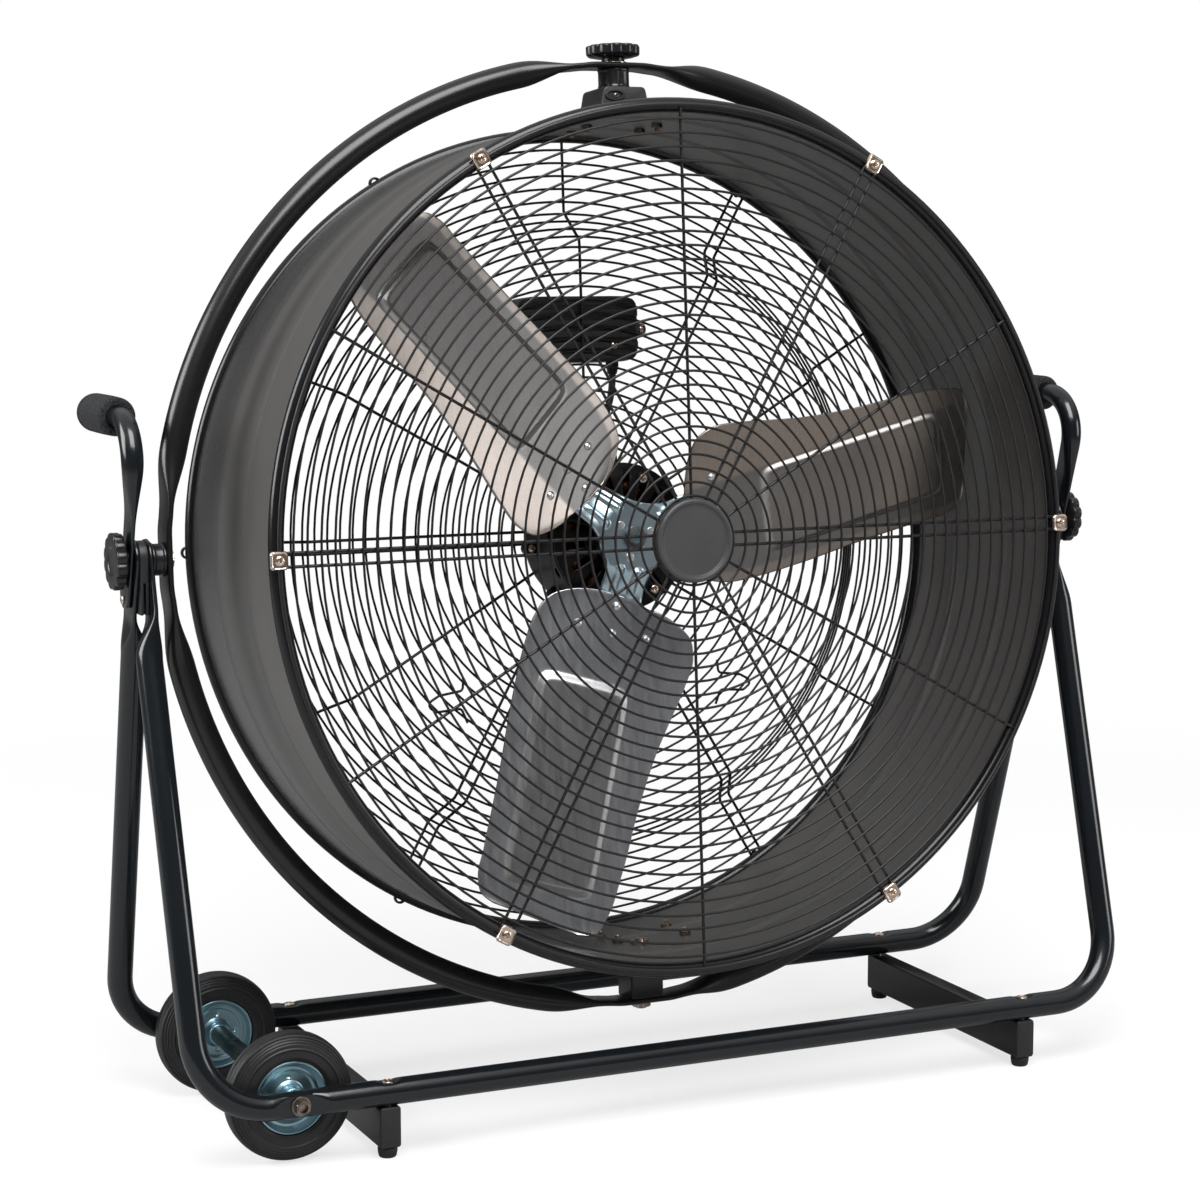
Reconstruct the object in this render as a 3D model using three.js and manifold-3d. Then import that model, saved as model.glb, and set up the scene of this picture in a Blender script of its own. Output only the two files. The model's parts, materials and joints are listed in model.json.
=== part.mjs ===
// A drum fan on a tube stand. The drum turns in an orbit ring and the ring tilts between the stand's legs.
// Millimetres. X runs along the stand, Y from front to back, Z up, with the floor at Z = 0.
import * as THREE from "three";
import { mergeVertices } from "three/addons/utils/BufferGeometryUtils.js";
import Module from "manifold-3d";

// ---------------------------------------------------------------- driving dimensions
const clearance = 0.3; // gap between pieces that touch
const flatGap = 0.3; // gap between faces that are clamped together

// stand
const standTubeRadius = 12;
const standTubeSides = 10;
const barHeight = 60; // centre of the two bottom bars
const cornerOut = 0.5; // from a front leg's flat to where the lines of bar and leg cross
const barY = 140; // centre of a bottom bar, from the middle
const cornerBend = 66;
const ringToBar = 23.5; // height of the ring's lowest point above the bars, centre to centre
const legLean = 6; // how far a leg stands out at the start of its flat
const legFlatLength = 48; // full flat below the pivot
const legPressLength = 36; // length over which a tube goes flat
const flatEnd = 18; // flat above the pivot
const legFlatThickness = 4;
const pressWiden = 1.42; // a pressed tube grows this much wider
const crossLeftInset = 173; // cross bars and axle, from the corner at their end
const crossRightInset = 106;
const crossWidth = 20;
const crossHeight = 38;
const crossLength = 296;
const footRadius = 9;
const footHeight = 9.4;
const footInset = 10; // from a cross bar's end to the middle of its foot
const frameBoltRadius = 3;
const frameBoltHead = 7;
const frameBoltHeadHeight = 3.6;
const frameBoltDepth = 20; // thread in a cross bar

// wheels
const axleInset = 89;
const axleRadius = 6;
const axleTubeRadius = 9;
const axleNutRadius = 8;
const axleNutHeight = 5.5;
const wheelRadius = 58.5;
const tyreWidth = 27;
const discRadius = 33.7;
const hubRadius = 11;
const wheelInnerY = 96.7; // inner end of a wheel's hub
const wheelSides = 20;

// pivots between stand and ring
const pivotBoltRadius = 6;
const pivotHeadRadius = 11;
const pivotHeadHeight = 4;
const sideSpacerRadius = 15.5;
const sideSpacerLength = 12.4;
const saddleThickness = 7.9;
const saddleWidth = 30;
const saddleDrop = 47;
const saddleSlot = 2;
const saddleSlotDepth = 28;
const knobRadius = 26;
const knobValley = 23.4;
const knobThickness = 12;
const knobLobes = 12;
const knobNeckRadius = 11;
const sideKnobNeck = 2;
const topKnobNeck = 4.7;
const boltInKnob = 9;

// handles
const handleTubeRadius = 10;
const handleTabThickness = 3.6;
const handleTabLength = 43; // below the pivot
const handleFlatAbove = 36;
const handlePressLength = 34;
const gripHeight = 660;
const handleBend = 40;
const gripRadius = 18;
const gripLength = 83;
const gripWall = 8; // closed end of a grip
const handleScrewRadius = 4;
const handleScrewHeight = 3;
const handleScrewDrop = 36;

// orbit ring
const ringSideExtra = 7.5; // the ring is this much wider than high, each side
const ringTubeRadius = 12.3;
const ringFlatThickness = 5;
const ringFlatHalf = 48;
const ringPressLength = 18;
const ringSteps = 12; // sections in a quarter of the ring
const ringTilt = -4.2; // degrees, the top leans back

// drum
const drumRadius = 398; // outside of the skin
const drumWall = 1.6;
const beadRadius = 7;
const drumFront = -142; // front face of the front bead
const drumDepth = 270;
const drumSides = 48;
const guardWire = 3.2;
const guardThickness = 3;
const guardSides = 24;
const pairSpacing = 12; // between the two wires of a double spoke
const guardRimInset = 1; // centre of a guard's outer wire, inside the drum's skin
const frontRings = 7; // openings from hub to rim
const rearRings = 4; // openings inside the dish
const capRadius = 39;
const capDepth = 13;
const capStandsOut = 4;
const capRecess = 2.5;
const dishDepth = 36;
const dishInset = 77; // where the dish starts, from the outer wire
const dishSlope = 35; // radius over which it steps in
const clipSize = 16;
const clipThickness = 3.2;
const clipScrewRadius = 4.5;
const clipScrewHeight = 2.6;

// drum pivots in the ring
const drumBoltRadius = 5;
const drumBoltHead = 9;
const drumBoltHeadHeight = 4;
const topBracketHalf = 35;
const topBracketShoulder = 22;
const topBracketHeight = 30;
const bracketHalfDepth = 25;
const topSpacerRadius = 15.3;
const topSpacerLength = 18.4;
const bottomBracketHalf = 17;

// motor
const motorRadius = 72;
const motorWall = 2.5;
const motorFront = 14; // front edge of the can
const statorInner = 32;
const statorDepth = 50;
const rotorCoreDepth = 38;
const motorShaftRadius = 6;
const bellRise = 7.7;
const bearingBoss = 12;

// rotor
const bladeCount = 3;
const bladeTipGap = 23.4; // from the tips to the inside of the drum
const bladeRoot = 92;
const bladeWidth = 183;
const bladeThickness = 2;
const bladePitch = 15; // degrees
const bladeTurn = 1.7; // degrees, the first blade's base line
const bladeAxisY = -5; // where the base line crosses the drum's axis
const panelRise = 3;
const rivetRadius = 4;
const rivetHeight = 2;
const armWidth = 50;
const armReach = 124;
const armOffset = 20; // middle of an arm beside the base line
const armThickness = 3;
const hubBossRadius = 34;
const hubBossFront = -17;
const hubBossBack = 1;
const shaftNutRadius = 9;
const shaftNutHeight = 5;

// control box on the rear guard
const boxHalfWidth = 66;
const boxBottom = 172;
const boxHeight = 65;
const boxDepth = 45;
const boxCorner = 14;
const glandRadius = 9;
const glandLength = 14;
const glandBore = 4.5;
const glandHeight = 204;
const dialRadius = 19;
const dialHeight = 19.94;
const dialGripWidth = 8;
const dialGripRise = 10;
const leadRadius = 3.5;

// ---------------------------------------------------------------- colours
const finishes = {
  glossBlack: { color: 0x17181a, roughness: 0.25, metalness: 0.1 },
  satinBlack: { color: 0x26272a, roughness: 0.45, metalness: 0.1 },
  charcoal: { color: 0x3c3c3e, roughness: 0.5, metalness: 0.15 },
  wireBlack: { color: 0x222226, roughness: 0.4, metalness: 0.2 },
  plastic: { color: 0x1b1c1e, roughness: 0.55, metalness: 0 },
  rubber: { color: 0x1c1c1d, roughness: 0.85, metalness: 0 },
  foam: { color: 0x202123, roughness: 0.95, metalness: 0 },
  zinc: { color: 0xa9bcc4, roughness: 0.25, metalness: 0.9 },
  nickel: { color: 0xd9cbbd, roughness: 0.2, metalness: 1 },
  aluminium: { color: 0x9a9aa0, roughness: 0.35, metalness: 0.9 },
  copper: { color: 0xb26a3c, roughness: 0.4, metalness: 0.8 },
};

// ---------------------------------------------------------------- tools
const wasm = await Module();
wasm.setup();
const { Manifold, Mesh: SolidMesh } = wasm;
const radians = THREE.MathUtils.degToRad;

function bare(geometry) {
  const copy = geometry.index ? geometry.toNonIndexed() : geometry.clone();
  copy.deleteAttribute("normal");
  copy.deleteAttribute("uv");
  return mergeVertices(copy, 1e-3);
}

function volumeOf(geometry) {
  const at = geometry.attributes.position;
  const corner = [0, 1, 2].map(() => new THREE.Vector3());
  let sum = 0;
  for (let i = 0; i < geometry.index.count; i += 3) {
    corner.forEach((c, k) => c.fromBufferAttribute(at, geometry.index.getX(i + k)));
    sum += corner[0].dot(corner[1].cross(corner[2])) / 6;
  }
  return sum;
}

// A closed geometry with its faces pointing out, whichever way its outline ran.
function outward(geometry) {
  const body = bare(geometry);
  if (volumeOf(body) < 0) {
    body.setIndex(Array.from(body.index.array).reverse());
  }
  return body;
}

function toSolid(geometry) {
  const body = outward(geometry);
  return new Manifold(
    new SolidMesh({
      numProp: 3,
      vertProperties: new Float32Array(body.attributes.position.array),
      triVerts: new Uint32Array(body.index.array),
    })
  );
}

function toGeometry(solid) {
  const mesh = solid.getMesh();
  const geometry = new THREE.BufferGeometry();
  geometry.setAttribute("position", new THREE.BufferAttribute(mesh.vertProperties, 3));
  geometry.setIndex(new THREE.BufferAttribute(mesh.triVerts, 1));
  return geometry;
}

function join(...geometries) {
  return toGeometry(geometries.map(toSolid).reduce((sum, next) => sum.add(next)));
}

function cut(geometry, ...tools) {
  return toGeometry(tools.map(toSolid).reduce((rest, tool) => rest.subtract(tool), toSolid(geometry)));
}

// Corner radius of a faceted hole that clears a round of the given radius.
function holeRadius(radius, sides) {
  return (radius + clearance) / Math.cos(Math.PI / sides);
}

// A solid of revolution about Y from [radius, height] pairs; the outline ends on the axis or closes.
function turned(outline, sides) {
  const points = outline.map(([r, h]) => new THREE.Vector2(r, h));
  return new THREE.LatheGeometry(points, sides);
}

function closedTurned(outline, sides) {
  return turned([...outline, outline[0]], sides);
}

function aboutX(geometry) {
  return geometry.rotateZ(-Math.PI / 2);
}

function aboutZ(geometry) {
  return geometry.rotateX(Math.PI / 2);
}

// A round bar from one height to another on the Y axis.
function rod(radius, from, to, sides) {
  return turned([[0, from], [radius, from], [radius, to], [0, to]], sides);
}

// A ring with a bore on the Y axis.
function bush(radius, bore, from, to, sides) {
  const hole = holeRadius(bore, sides);
  return closedTurned([[hole, from], [radius, from], [radius, to], [hole, to]], sides);
}

// A path whose rings sit exactly on the points it is given.
class Route extends THREE.Curve {
  constructor(points) {
    super();
    this.points = points;
  }
  getPoint(t, target = new THREE.Vector3()) {
    const place = Math.min(Math.max(t, 0), 1) * (this.points.length - 1);
    const start = Math.min(Math.floor(place), this.points.length - 2);
    return target.lerpVectors(this.points[start], this.points[start + 1], place - start);
  }
  getPointAt(u, target) {
    return this.getPoint(u, target);
  }
  getTangentAt(u, target) {
    return this.getTangent(u, target);
  }
}

function circleShape(radius, sides) {
  const shape = new THREE.Shape();
  for (let i = 0; i < sides; i += 1) {
    const angle = (2 * Math.PI * (i + 0.5)) / sides;
    shape[i ? "lineTo" : "moveTo"](radius * Math.cos(angle), radius * Math.sin(angle));
  }
  return shape;
}

function tube(points, radius, sides) {
  const extrudePath = new Route(points);
  const steps = points.length - 1;
  return new THREE.ExtrudeGeometry(circleShape(radius, sides), { extrudePath, steps });
}

// An arc that rounds the corner between two straight runs.
function bend(before, corner, after, radius, pieces) {
  const back = before.clone().sub(corner).normalize();
  const ahead = after.clone().sub(corner).normalize();
  const half = back.angleTo(ahead) / 2;
  const centre = back.clone().add(ahead).setLength(radius / Math.sin(half)).add(corner);
  const start = back.clone().multiplyScalar(radius / Math.tan(half)).add(corner).sub(centre);
  const axis = ahead.clone().cross(back).normalize();
  const sweep = Math.PI - 2 * half;
  return Array.from({ length: pieces + 1 }, (_, i) =>
    start.clone().applyAxisAngle(axis, (sweep * i) / pieces).add(centre)
  );
}

// Presses a tube flat across X at the rings where the amount is above 0.
function pressAcrossX(geometry, points, amounts, thickness, diameter) {
  const at = geometry.attributes.position;
  const vertex = new THREE.Vector3();
  for (let i = 0; i < at.count; i += 1) {
    vertex.fromBufferAttribute(at, i);
    const distances = points.map((p) => p.distanceToSquared(vertex));
    const ring = distances.indexOf(Math.min(...distances));
    const amount = amounts[ring];
    const offset = vertex.clone().sub(points[ring]);
    const thin = 1 + amount * (thickness / (diameter * Math.cos(Math.PI / standTubeSides)) - 1);
    const wide = 1 + amount * (pressWiden - 1);
    const pressed = offset.multiply(new THREE.Vector3(thin, wide, wide));
    vertex.copy(points[ring]).add(pressed);
    at.setXYZ(i, vertex.x, vertex.y, vertex.z);
  }
  return geometry;
}

function extrude(shape, depth) {
  return new THREE.ExtrudeGeometry(shape, { depth, bevelEnabled: false });
}

function outlineShape(points) {
  return new THREE.Shape(points.map(([x, y]) => new THREE.Vector2(x, y)));
}

function node(name, geometry, finish) {
  const mesh = new THREE.Mesh(outward(geometry), new THREE.MeshStandardMaterial(finishes[finish]));
  mesh.name = name;
  return mesh;
}

// ---------------------------------------------------------------- sizes that follow from the drum
const ringHalfHeight = drumRadius + topBracketHeight + topSpacerLength + 2 * flatGap + ringFlatThickness / 2;
const ringHalfWidth = ringHalfHeight + ringSideExtra;
const pivotHeight = barHeight + ringHalfHeight + ringToBar;
const guardRim = drumRadius - guardRimInset;
const dishOuter = guardRim - dishInset;
const dishInner = dishOuter - dishSlope;
const bladeTip = drumRadius - drumWall - bladeTipGap;

// ---------------------------------------------------------------- the pivot's stack along X
const ringFlatOuter = ringHalfWidth + ringFlatThickness / 2;
const spacerFrom = ringFlatOuter + flatGap;
const spacerTo = spacerFrom + sideSpacerLength;
const frontFlatX = spacerTo + flatGap + legFlatThickness / 2;
const saddleFrom = frontFlatX + legFlatThickness / 2 + flatGap;
const saddleTo = saddleFrom + saddleThickness;
const rearFlatX = saddleTo + flatGap + legFlatThickness / 2;
const handleX = rearFlatX + legFlatThickness / 2 + flatGap + handleTabThickness / 2;
const sideKnobFrom = handleX + handleTabThickness / 2 + flatGap;
const cornerX = frontFlatX + cornerOut;
const crossLeftX = crossLeftInset - cornerX;
const crossRightX = cornerX - crossRightInset;
const axleX = axleInset - cornerX;
const legSlope = barY / (pivotHeight - barHeight);

// Distance from the middle of a leg's centre line at a height; it reaches 0 at the pivot.
function legY(height) {
  return (pivotHeight - height) * legSlope;
}

// ---------------------------------------------------------------- stand
function frameRoute(side, flatX) {
  const flatFrom = pivotHeight - legFlatLength;
  const roundTo = flatFrom - legPressLength;
  const half = [
    new THREE.Vector3(flatX, side * legY(pivotHeight + flatEnd), pivotHeight + flatEnd),
    new THREE.Vector3(flatX, side * legY(flatFrom), flatFrom),
    new THREE.Vector3(cornerX + legLean, side * legY(roundTo), roundTo),
  ];
  const corner = new THREE.Vector3(cornerX, side * barY, barHeight);
  const middle = new THREE.Vector3(0, side * barY, barHeight);
  half.push(...bend(half[2], corner, middle, cornerBend, 5));
  const otherHalf = half.map((p) => new THREE.Vector3(-p.x, p.y, p.z)).reverse();
  const points = [...half, ...otherHalf];
  const amounts = points.map((p) => (p.z >= flatFrom - clearance ? 1 : 0));
  return { points, amounts };
}

function crossBars() {
  return [crossLeftX, crossRightX];
}

// Each tool is long enough to pass the piece it cuts.
function pivotHoles(radius) {
  const sides = 10;
  const reach = handleX + knobThickness;
  return aboutX(rod(holeRadius(radius, sides), -reach, reach, sides)).translate(0, 0, pivotHeight);
}

function frameBoltHole(x, y) {
  const sides = 8;
  const top = barHeight + standTubeRadius;
  const seat = top - frameBoltHeadHeight - clearance;
  const shaft = rod(holeRadius(frameBoltRadius, sides), boltFoot() - clearance, seat + clearance, sides);
  const sink = rod(holeRadius(frameBoltHead, sides), seat, top + standTubeRadius, sides);
  return aboutZ(toGeometry(toSolid(shaft).add(toSolid(sink)))).translate(x, y, 0);
}

function boltFoot() {
  return crossTop() - frameBoltDepth;
}

function crossTop() {
  return barHeight - standTubeRadius - clearance;
}

function axleHole() {
  const sides = 10;
  const reach = barY + 2 * standTubeRadius;
  return rod(holeRadius(axleRadius, sides), -reach, reach, sides).translate(axleX, 0, barHeight);
}

function standFrame(name, side, flatX) {
  const { points, amounts } = frameRoute(side, flatX);
  const round = tube(points, standTubeRadius, standTubeSides);
  const pressed = pressAcrossX(round, points, amounts, legFlatThickness, 2 * standTubeRadius);
  const bolts = crossBars().map((x) => frameBoltHole(x, side * barY));
  return node(name, cut(pressed, pivotHoles(pivotBoltRadius), axleHole(), ...bolts), "glossBlack");
}

function crossBar(name, x) {
  const top = crossTop();
  const bar = new THREE.BoxGeometry(crossWidth, crossLength, crossHeight);
  bar.translate(x, 0, top - crossHeight / 2);
  return node(name, cut(bar, frameBoltHole(x, -barY), frameBoltHole(x, barY)), "satinBlack");
}

function foot(name, x, y) {
  const top = crossTop() - crossHeight - clearance;
  const rounded = top - footHeight;
  const outline = [[0, rounded], [footRadius - 1, rounded], [footRadius, rounded + 1], [footRadius, top], [0, top]];
  return node(name, aboutZ(turned(outline, 12)).translate(x, y, 0), "rubber");
}

function frameBolt(name, x, y) {
  const sides = 8;
  const top = barHeight + standTubeRadius;
  const seat = top - frameBoltHeadHeight;
  const outline = [
    [0, boltFoot()],
    [frameBoltRadius, boltFoot()],
    [frameBoltRadius, seat],
    [frameBoltHead, seat],
    [frameBoltHead - 1.5, top],
    [0, top],
  ];
  return node(name, aboutZ(turned(outline, sides)).translate(x, y, 0), "nickel");
}

function baseParts() {
  const parts = [
    standFrame("front_frame", -1, frontFlatX),
    standFrame("rear_frame", 1, rearFlatX),
    crossBar("cross_bar_left", crossLeftX),
    crossBar("cross_bar_right", crossRightX),
  ];
  for (const [end, y] of [["front", -1], ["rear", 1]]) {
    for (const [side, x] of [["left", crossLeftX], ["right", crossRightX]]) {
      parts.push(foot(`foot_${end}_${side}`, x, y * (crossLength / 2 - footInset)));
      parts.push(frameBolt(`frame_bolt_${end}_${side}`, x, y * barY));
    }
  }
  return parts;
}

// ---------------------------------------------------------------- wheels
function axleParts() {
  const sides = 10;
  const barFace = barY + standTubeRadius + clearance;
  const outline = [
    [0, -barFace - axleNutHeight],
    [axleNutRadius, -barFace - axleNutHeight],
    [axleNutRadius, -barFace],
    [axleRadius, -barFace],
    [axleRadius, barFace],
    [axleNutRadius, barFace],
    [axleNutRadius, barFace + axleNutHeight],
    [0, barFace + axleNutHeight],
  ];
  const end = wheelInnerY - clearance;
  const spacer = bush(axleTubeRadius, axleRadius, -end, end, 12);
  return [
    node("axle_bolt", turned(outline, sides).translate(axleX, 0, barHeight), "nickel"),
    node("axle_tube", spacer.translate(axleX, 0, barHeight), "satinBlack"),
  ];
}

// A wheel is drawn for the rear; the front one is the same pieces turned about Z.
function wheel(end, turn) {
  const hubEnd = barY - standTubeRadius - clearance - wheelInnerY;
  const middle = hubEnd / 2 - 1.5;
  const half = tyreWidth / 2;
  const seat = discRadius + clearance;
  const side = wheelRadius - seat;
  const tyre = [
    [seat, middle - half + 2],
    [seat + 0.35 * side, middle - half],
    [seat + 0.85 * side, middle - half + 3],
    [wheelRadius, middle - half + 8],
    [wheelRadius, middle + half - 8],
    [seat + 0.85 * side, middle + half - 3],
    [seat + 0.35 * side, middle + half],
    [seat, middle + half - 2],
  ];
  const hole = holeRadius(axleRadius, wheelSides);
  const rimHalf = half - 3;
  const disc = [
    [hole, 0],
    [hubRadius, 0],
    [hubRadius, middle - 2],
    [discRadius - 5, middle - 2],
    [discRadius, middle - rimHalf],
    [discRadius, middle + rimHalf],
    [discRadius - 3, middle + rimHalf],
    [discRadius - 5, middle + 2],
    [hubRadius, middle + 2],
    [hubRadius, hubEnd],
    [hole, hubEnd],
  ];
  const place = (geometry) =>
    geometry.translate(0, wheelInnerY, 0).rotateZ(turn).translate(axleX, 0, barHeight);
  return [
    node(`tyre_${end}`, place(closedTurned(tyre, wheelSides)), "rubber"),
    node(`wheel_disc_${end}`, place(closedTurned(disc, wheelSides)), "zinc"),
  ];
}

// ---------------------------------------------------------------- side pivots, knobs and handles
function knobShape() {
  const points = [];
  for (let i = 0; i < 2 * knobLobes; i += 1) {
    const radius = i % 2 ? knobValley : knobRadius;
    const angle = (Math.PI * i) / knobLobes;
    points.push([radius * Math.cos(angle), radius * Math.sin(angle)]);
  }
  return outlineShape(points);
}

// A knob on the Z axis with its neck at 0 and its bore open there.
function knob(neck, boltRadius) {
  const head = extrude(knobShape(), knobThickness).translate(0, 0, neck);
  const collar = aboutZ(rod(knobNeckRadius, 0, neck + 1, 12));
  const bore = aboutZ(rod(holeRadius(boltRadius, 12), -1, boltInKnob + clearance, 12));
  return cut(join(head, collar), bore);
}

function saddle(side) {
  const half = saddleWidth / 2;
  const shape = new THREE.Shape();
  shape.moveTo(-half, -saddleDrop);
  shape.lineTo(half, -saddleDrop);
  shape.lineTo(half, half / 2);
  shape.lineTo(half / 2, half + 3);
  shape.lineTo(-half / 2, half + 3);
  shape.lineTo(-half, half / 2);
  const block = extrude(shape, saddleThickness).rotateX(Math.PI / 2).rotateZ(Math.PI / 2);
  block.translate(saddleFrom, 0, pivotHeight);
  const slot = new THREE.BoxGeometry(saddleSlot, 2 * saddleWidth, saddleSlotDepth);
  slot.translate((saddleFrom + saddleTo) / 2, 0, pivotHeight - saddleDrop + saddleSlotDepth / 2 - 1);
  return toSide(cut(block, slot, pivotHoles(pivotBoltRadius)), side);
}

function toSide(geometry, side) {
  return side > 0 ? geometry : outward(geometry.scale(-1, 1, 1));
}

function pivotBolt(side) {
  const inner = ringHalfWidth - ringFlatThickness / 2 - flatGap;
  const end = sideKnobFrom + boltInKnob;
  const outline = [
    [0, inner - pivotHeadHeight],
    [pivotHeadRadius, inner - pivotHeadHeight],
    [pivotHeadRadius, inner],
    [pivotBoltRadius, inner],
    [pivotBoltRadius, end],
    [0, end],
  ];
  return toSide(aboutX(turned(outline, 10)).translate(0, 0, pivotHeight), side);
}

function handleRoute() {
  const low = pivotHeight - handleTabLength;
  const flatTo = pivotHeight + handleFlatAbove;
  const roundFrom = flatTo + handlePressLength;
  const at = (height) => new THREE.Vector3(handleX, legY(height), height);
  const corner = at(gripHeight);
  const gripEnd = corner.clone().add(new THREE.Vector3(0, handleGripTo(), 0));
  const arc = bend(at(roundFrom), corner, gripEnd, handleBend, 7);
  const points = [at(low), at(flatTo), at(roundFrom), ...arc, gripEnd];
  return { points, amounts: points.map((p, i) => (i < 2 ? 1 : 0)) };
}

// From the corner of the handle's route back to where the grip starts, and to where its tube ends.
function handleGripFrom() {
  const turn = Math.PI / 2 + Math.atan(legSlope);
  return handleBend * Math.tan(turn / 2) + 8;
}

function handleGripTo() {
  return handleGripFrom() + gripLength - gripWall;
}

function handle(side) {
  const { points, amounts } = handleRoute();
  const round = tube(points, handleTubeRadius, standTubeSides);
  const pressed = pressAcrossX(round, points, amounts, handleTabThickness, 2 * handleTubeRadius);
  const screwAt = pivotHeight - handleScrewDrop;
  const face = handleX + handleTabThickness / 2;
  const screw = aboutX(rod(handleScrewRadius, face - 1, face + handleScrewHeight, 8));
  screw.translate(0, legY(screwAt), screwAt);
  return toSide(cut(join(pressed, screw), pivotHoles(pivotBoltRadius)), side);
}

function grip(side) {
  const sides = 16;
  const start = legY(gripHeight) + handleGripFrom();
  const end = start + gripLength;
  const hole = holeRadius(handleTubeRadius, standTubeSides);
  const outline = [
    [hole, start],
    [gripRadius - 3, start],
    [gripRadius, start + 3],
    [gripRadius, end - 4],
    [gripRadius - 4, end],
    [0, end],
    [0, end - gripWall + clearance],
    [hole, end - gripWall + clearance],
    [hole, start],
  ];
  return turned(outline, sides).translate(side * handleX, 0, gripHeight);
}

function sideParts(name, side) {
  const spacer = aboutX(bush(sideSpacerRadius, pivotBoltRadius, spacerFrom, spacerTo, 16));
  spacer.translate(0, 0, pivotHeight);
  const knobBody = knob(sideKnobNeck, pivotBoltRadius).rotateY(Math.PI / 2);
  knobBody.translate(sideKnobFrom, 0, pivotHeight);
  return [
    node(`side_spacer_${name}`, toSide(spacer, side), "plastic"),
    node(`saddle_${name}`, saddle(side), "plastic"),
    node(`pivot_bolt_${name}`, pivotBolt(side), "satinBlack"),
    node(`handle_${name}`, handle(side), "glossBlack"),
    node(`grip_${name}`, grip(side), "foam"),
    node(`knob_${name}`, toSide(knobBody, side), "plastic"),
  ];
}

// ---------------------------------------------------------------- orbit ring, in the tilted frame
// The ring's sections in one quarter: flat at the pivots, round between.
function quarterSections(steps) {
  const flatTo = ringFlatHalf / ringHalfHeight;
  const roundFrom = (ringFlatHalf + ringPressLength) / ringHalfHeight;
  const roundTo = Math.PI / 2 - roundFrom;
  const round = Array.from({ length: steps - 3 }, (_, i) => {
    const angle = roundFrom + ((roundTo - roundFrom) * i) / (steps - 4);
    return { angle, flat: false };
  });
  const flat = [0, flatTo, Math.PI / 2 - flatTo].map((angle) => ({ angle, flat: true }));
  return [flat[0], flat[1], ...round, flat[2]];
}

function ringSections() {
  const quarter = quarterSections(ringSteps);
  return [0, 1, 2, 3].flatMap((q) => quarter.map(({ angle, flat }) => ({ angle: angle + (q * Math.PI) / 2, flat })));
}

function ringGeometry() {
  const sections = ringSections();
  const count = sections.length;
  const torus = new THREE.TorusGeometry(ringHalfHeight, ringTubeRadius, standTubeSides, count);
  const at = torus.attributes.position;
  for (let i = 0; i < at.count; i += 1) {
    const [x, y, z] = [at.getX(i), at.getY(i), at.getZ(i)];
    const turn = (Math.atan2(y, x) / (2 * Math.PI)) * count;
    const section = sections[(Math.round(turn) + count) % count];
    const away = Math.hypot(x, y) - ringHalfHeight;
    const halfRound = ringTubeRadius * Math.cos(Math.PI / (2 * standTubeSides));
    const thin = section.flat ? ringFlatThickness / 2 / halfRound : 1;
    const wide = section.flat ? pressWiden : 1;
    const out = away * thin;
    const [c, s] = [Math.cos(section.angle), Math.sin(section.angle)];
    const flatX = section.flat && Math.abs(c) > Math.abs(s);
    const flatZ = section.flat && !flatX;
    const px = flatX ? Math.sign(c) * (ringHalfWidth + out) : c * (ringHalfWidth + out);
    const pz = flatZ ? Math.sign(s) * (ringHalfHeight + out) : s * (ringHalfHeight + out);
    at.setXYZ(i, px, -z * wide, pz);
  }
  return torus;
}

function orbitRing() {
  const sides = 10;
  const reach = ringHalfWidth + ringHalfHeight;
  const sideHole = aboutX(rod(holeRadius(pivotBoltRadius, sides), -reach, reach, sides));
  const endHole = aboutZ(rod(holeRadius(drumBoltRadius, sides), -reach, reach, sides));
  return node("orbit_ring", cut(ringGeometry(), sideHole, endHole), "satinBlack");
}

// ---------------------------------------------------------------- drum, about its Y axis
const drumBack = drumFront + drumDepth;

function beadOutline(centreY, towards) {
  const turn = [144, 72, 0, -72, -144];
  return turn.map((degrees) => {
    const angle = radians(degrees);
    const along = beadRadius * Math.cos(angle) * towards;
    return [drumRadius - drumWall / 2 + beadRadius * Math.sin(angle), centreY + along];
  });
}

function drumShell() {
  const front = beadOutline(drumFront + beadRadius, -1);
  const back = beadOutline(drumBack - beadRadius, 1);
  const skin = [
    [drumRadius, drumFront + 2 * beadRadius],
    [drumRadius, drumBack - 2 * beadRadius],
  ];
  const inside = skin.map(([r, y]) => [r - drumWall, y]).reverse();
  const outline = [...front.reverse(), ...skin, ...back, ...inside];
  const hole = aboutZ(rod(holeRadius(drumBoltRadius, 10), -2 * drumRadius, 2 * drumRadius, 10));
  return node("drum_shell", cut(closedTurned(outline, drumSides), hole), "charcoal");
}

// Where a line beside a spoke crosses a circle, as an angle.
function crossing(spoke, beside, radius) {
  return spoke + Math.asin(beside / radius);
}

function arcPoints(radius, from, to, pieces) {
  return Array.from({ length: pieces + 1 }, (_, i) => {
    const angle = from + ((to - from) * i) / pieces;
    return [radius * Math.cos(angle), radius * Math.sin(angle)];
  });
}

function wholeCircle(radius) {
  return outlineShape(arcPoints(radius, 0, 2 * Math.PI, guardSides).slice(1));
}

// One opening of a guard, between two rings and two wires that run beside spokes.
function guardGap(inner, outer, start, startBeside, end, endBeside, pieces) {
  const points = [
    ...arcPoints(outer, crossing(start, startBeside, outer), crossing(end, endBeside, outer), pieces),
    ...arcPoints(inner, crossing(end, endBeside, inner), crossing(start, startBeside, inner), pieces),
  ];
  return extrude(outlineShape(points), 3 * guardThickness).translate(0, 0, -guardThickness);
}

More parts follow.
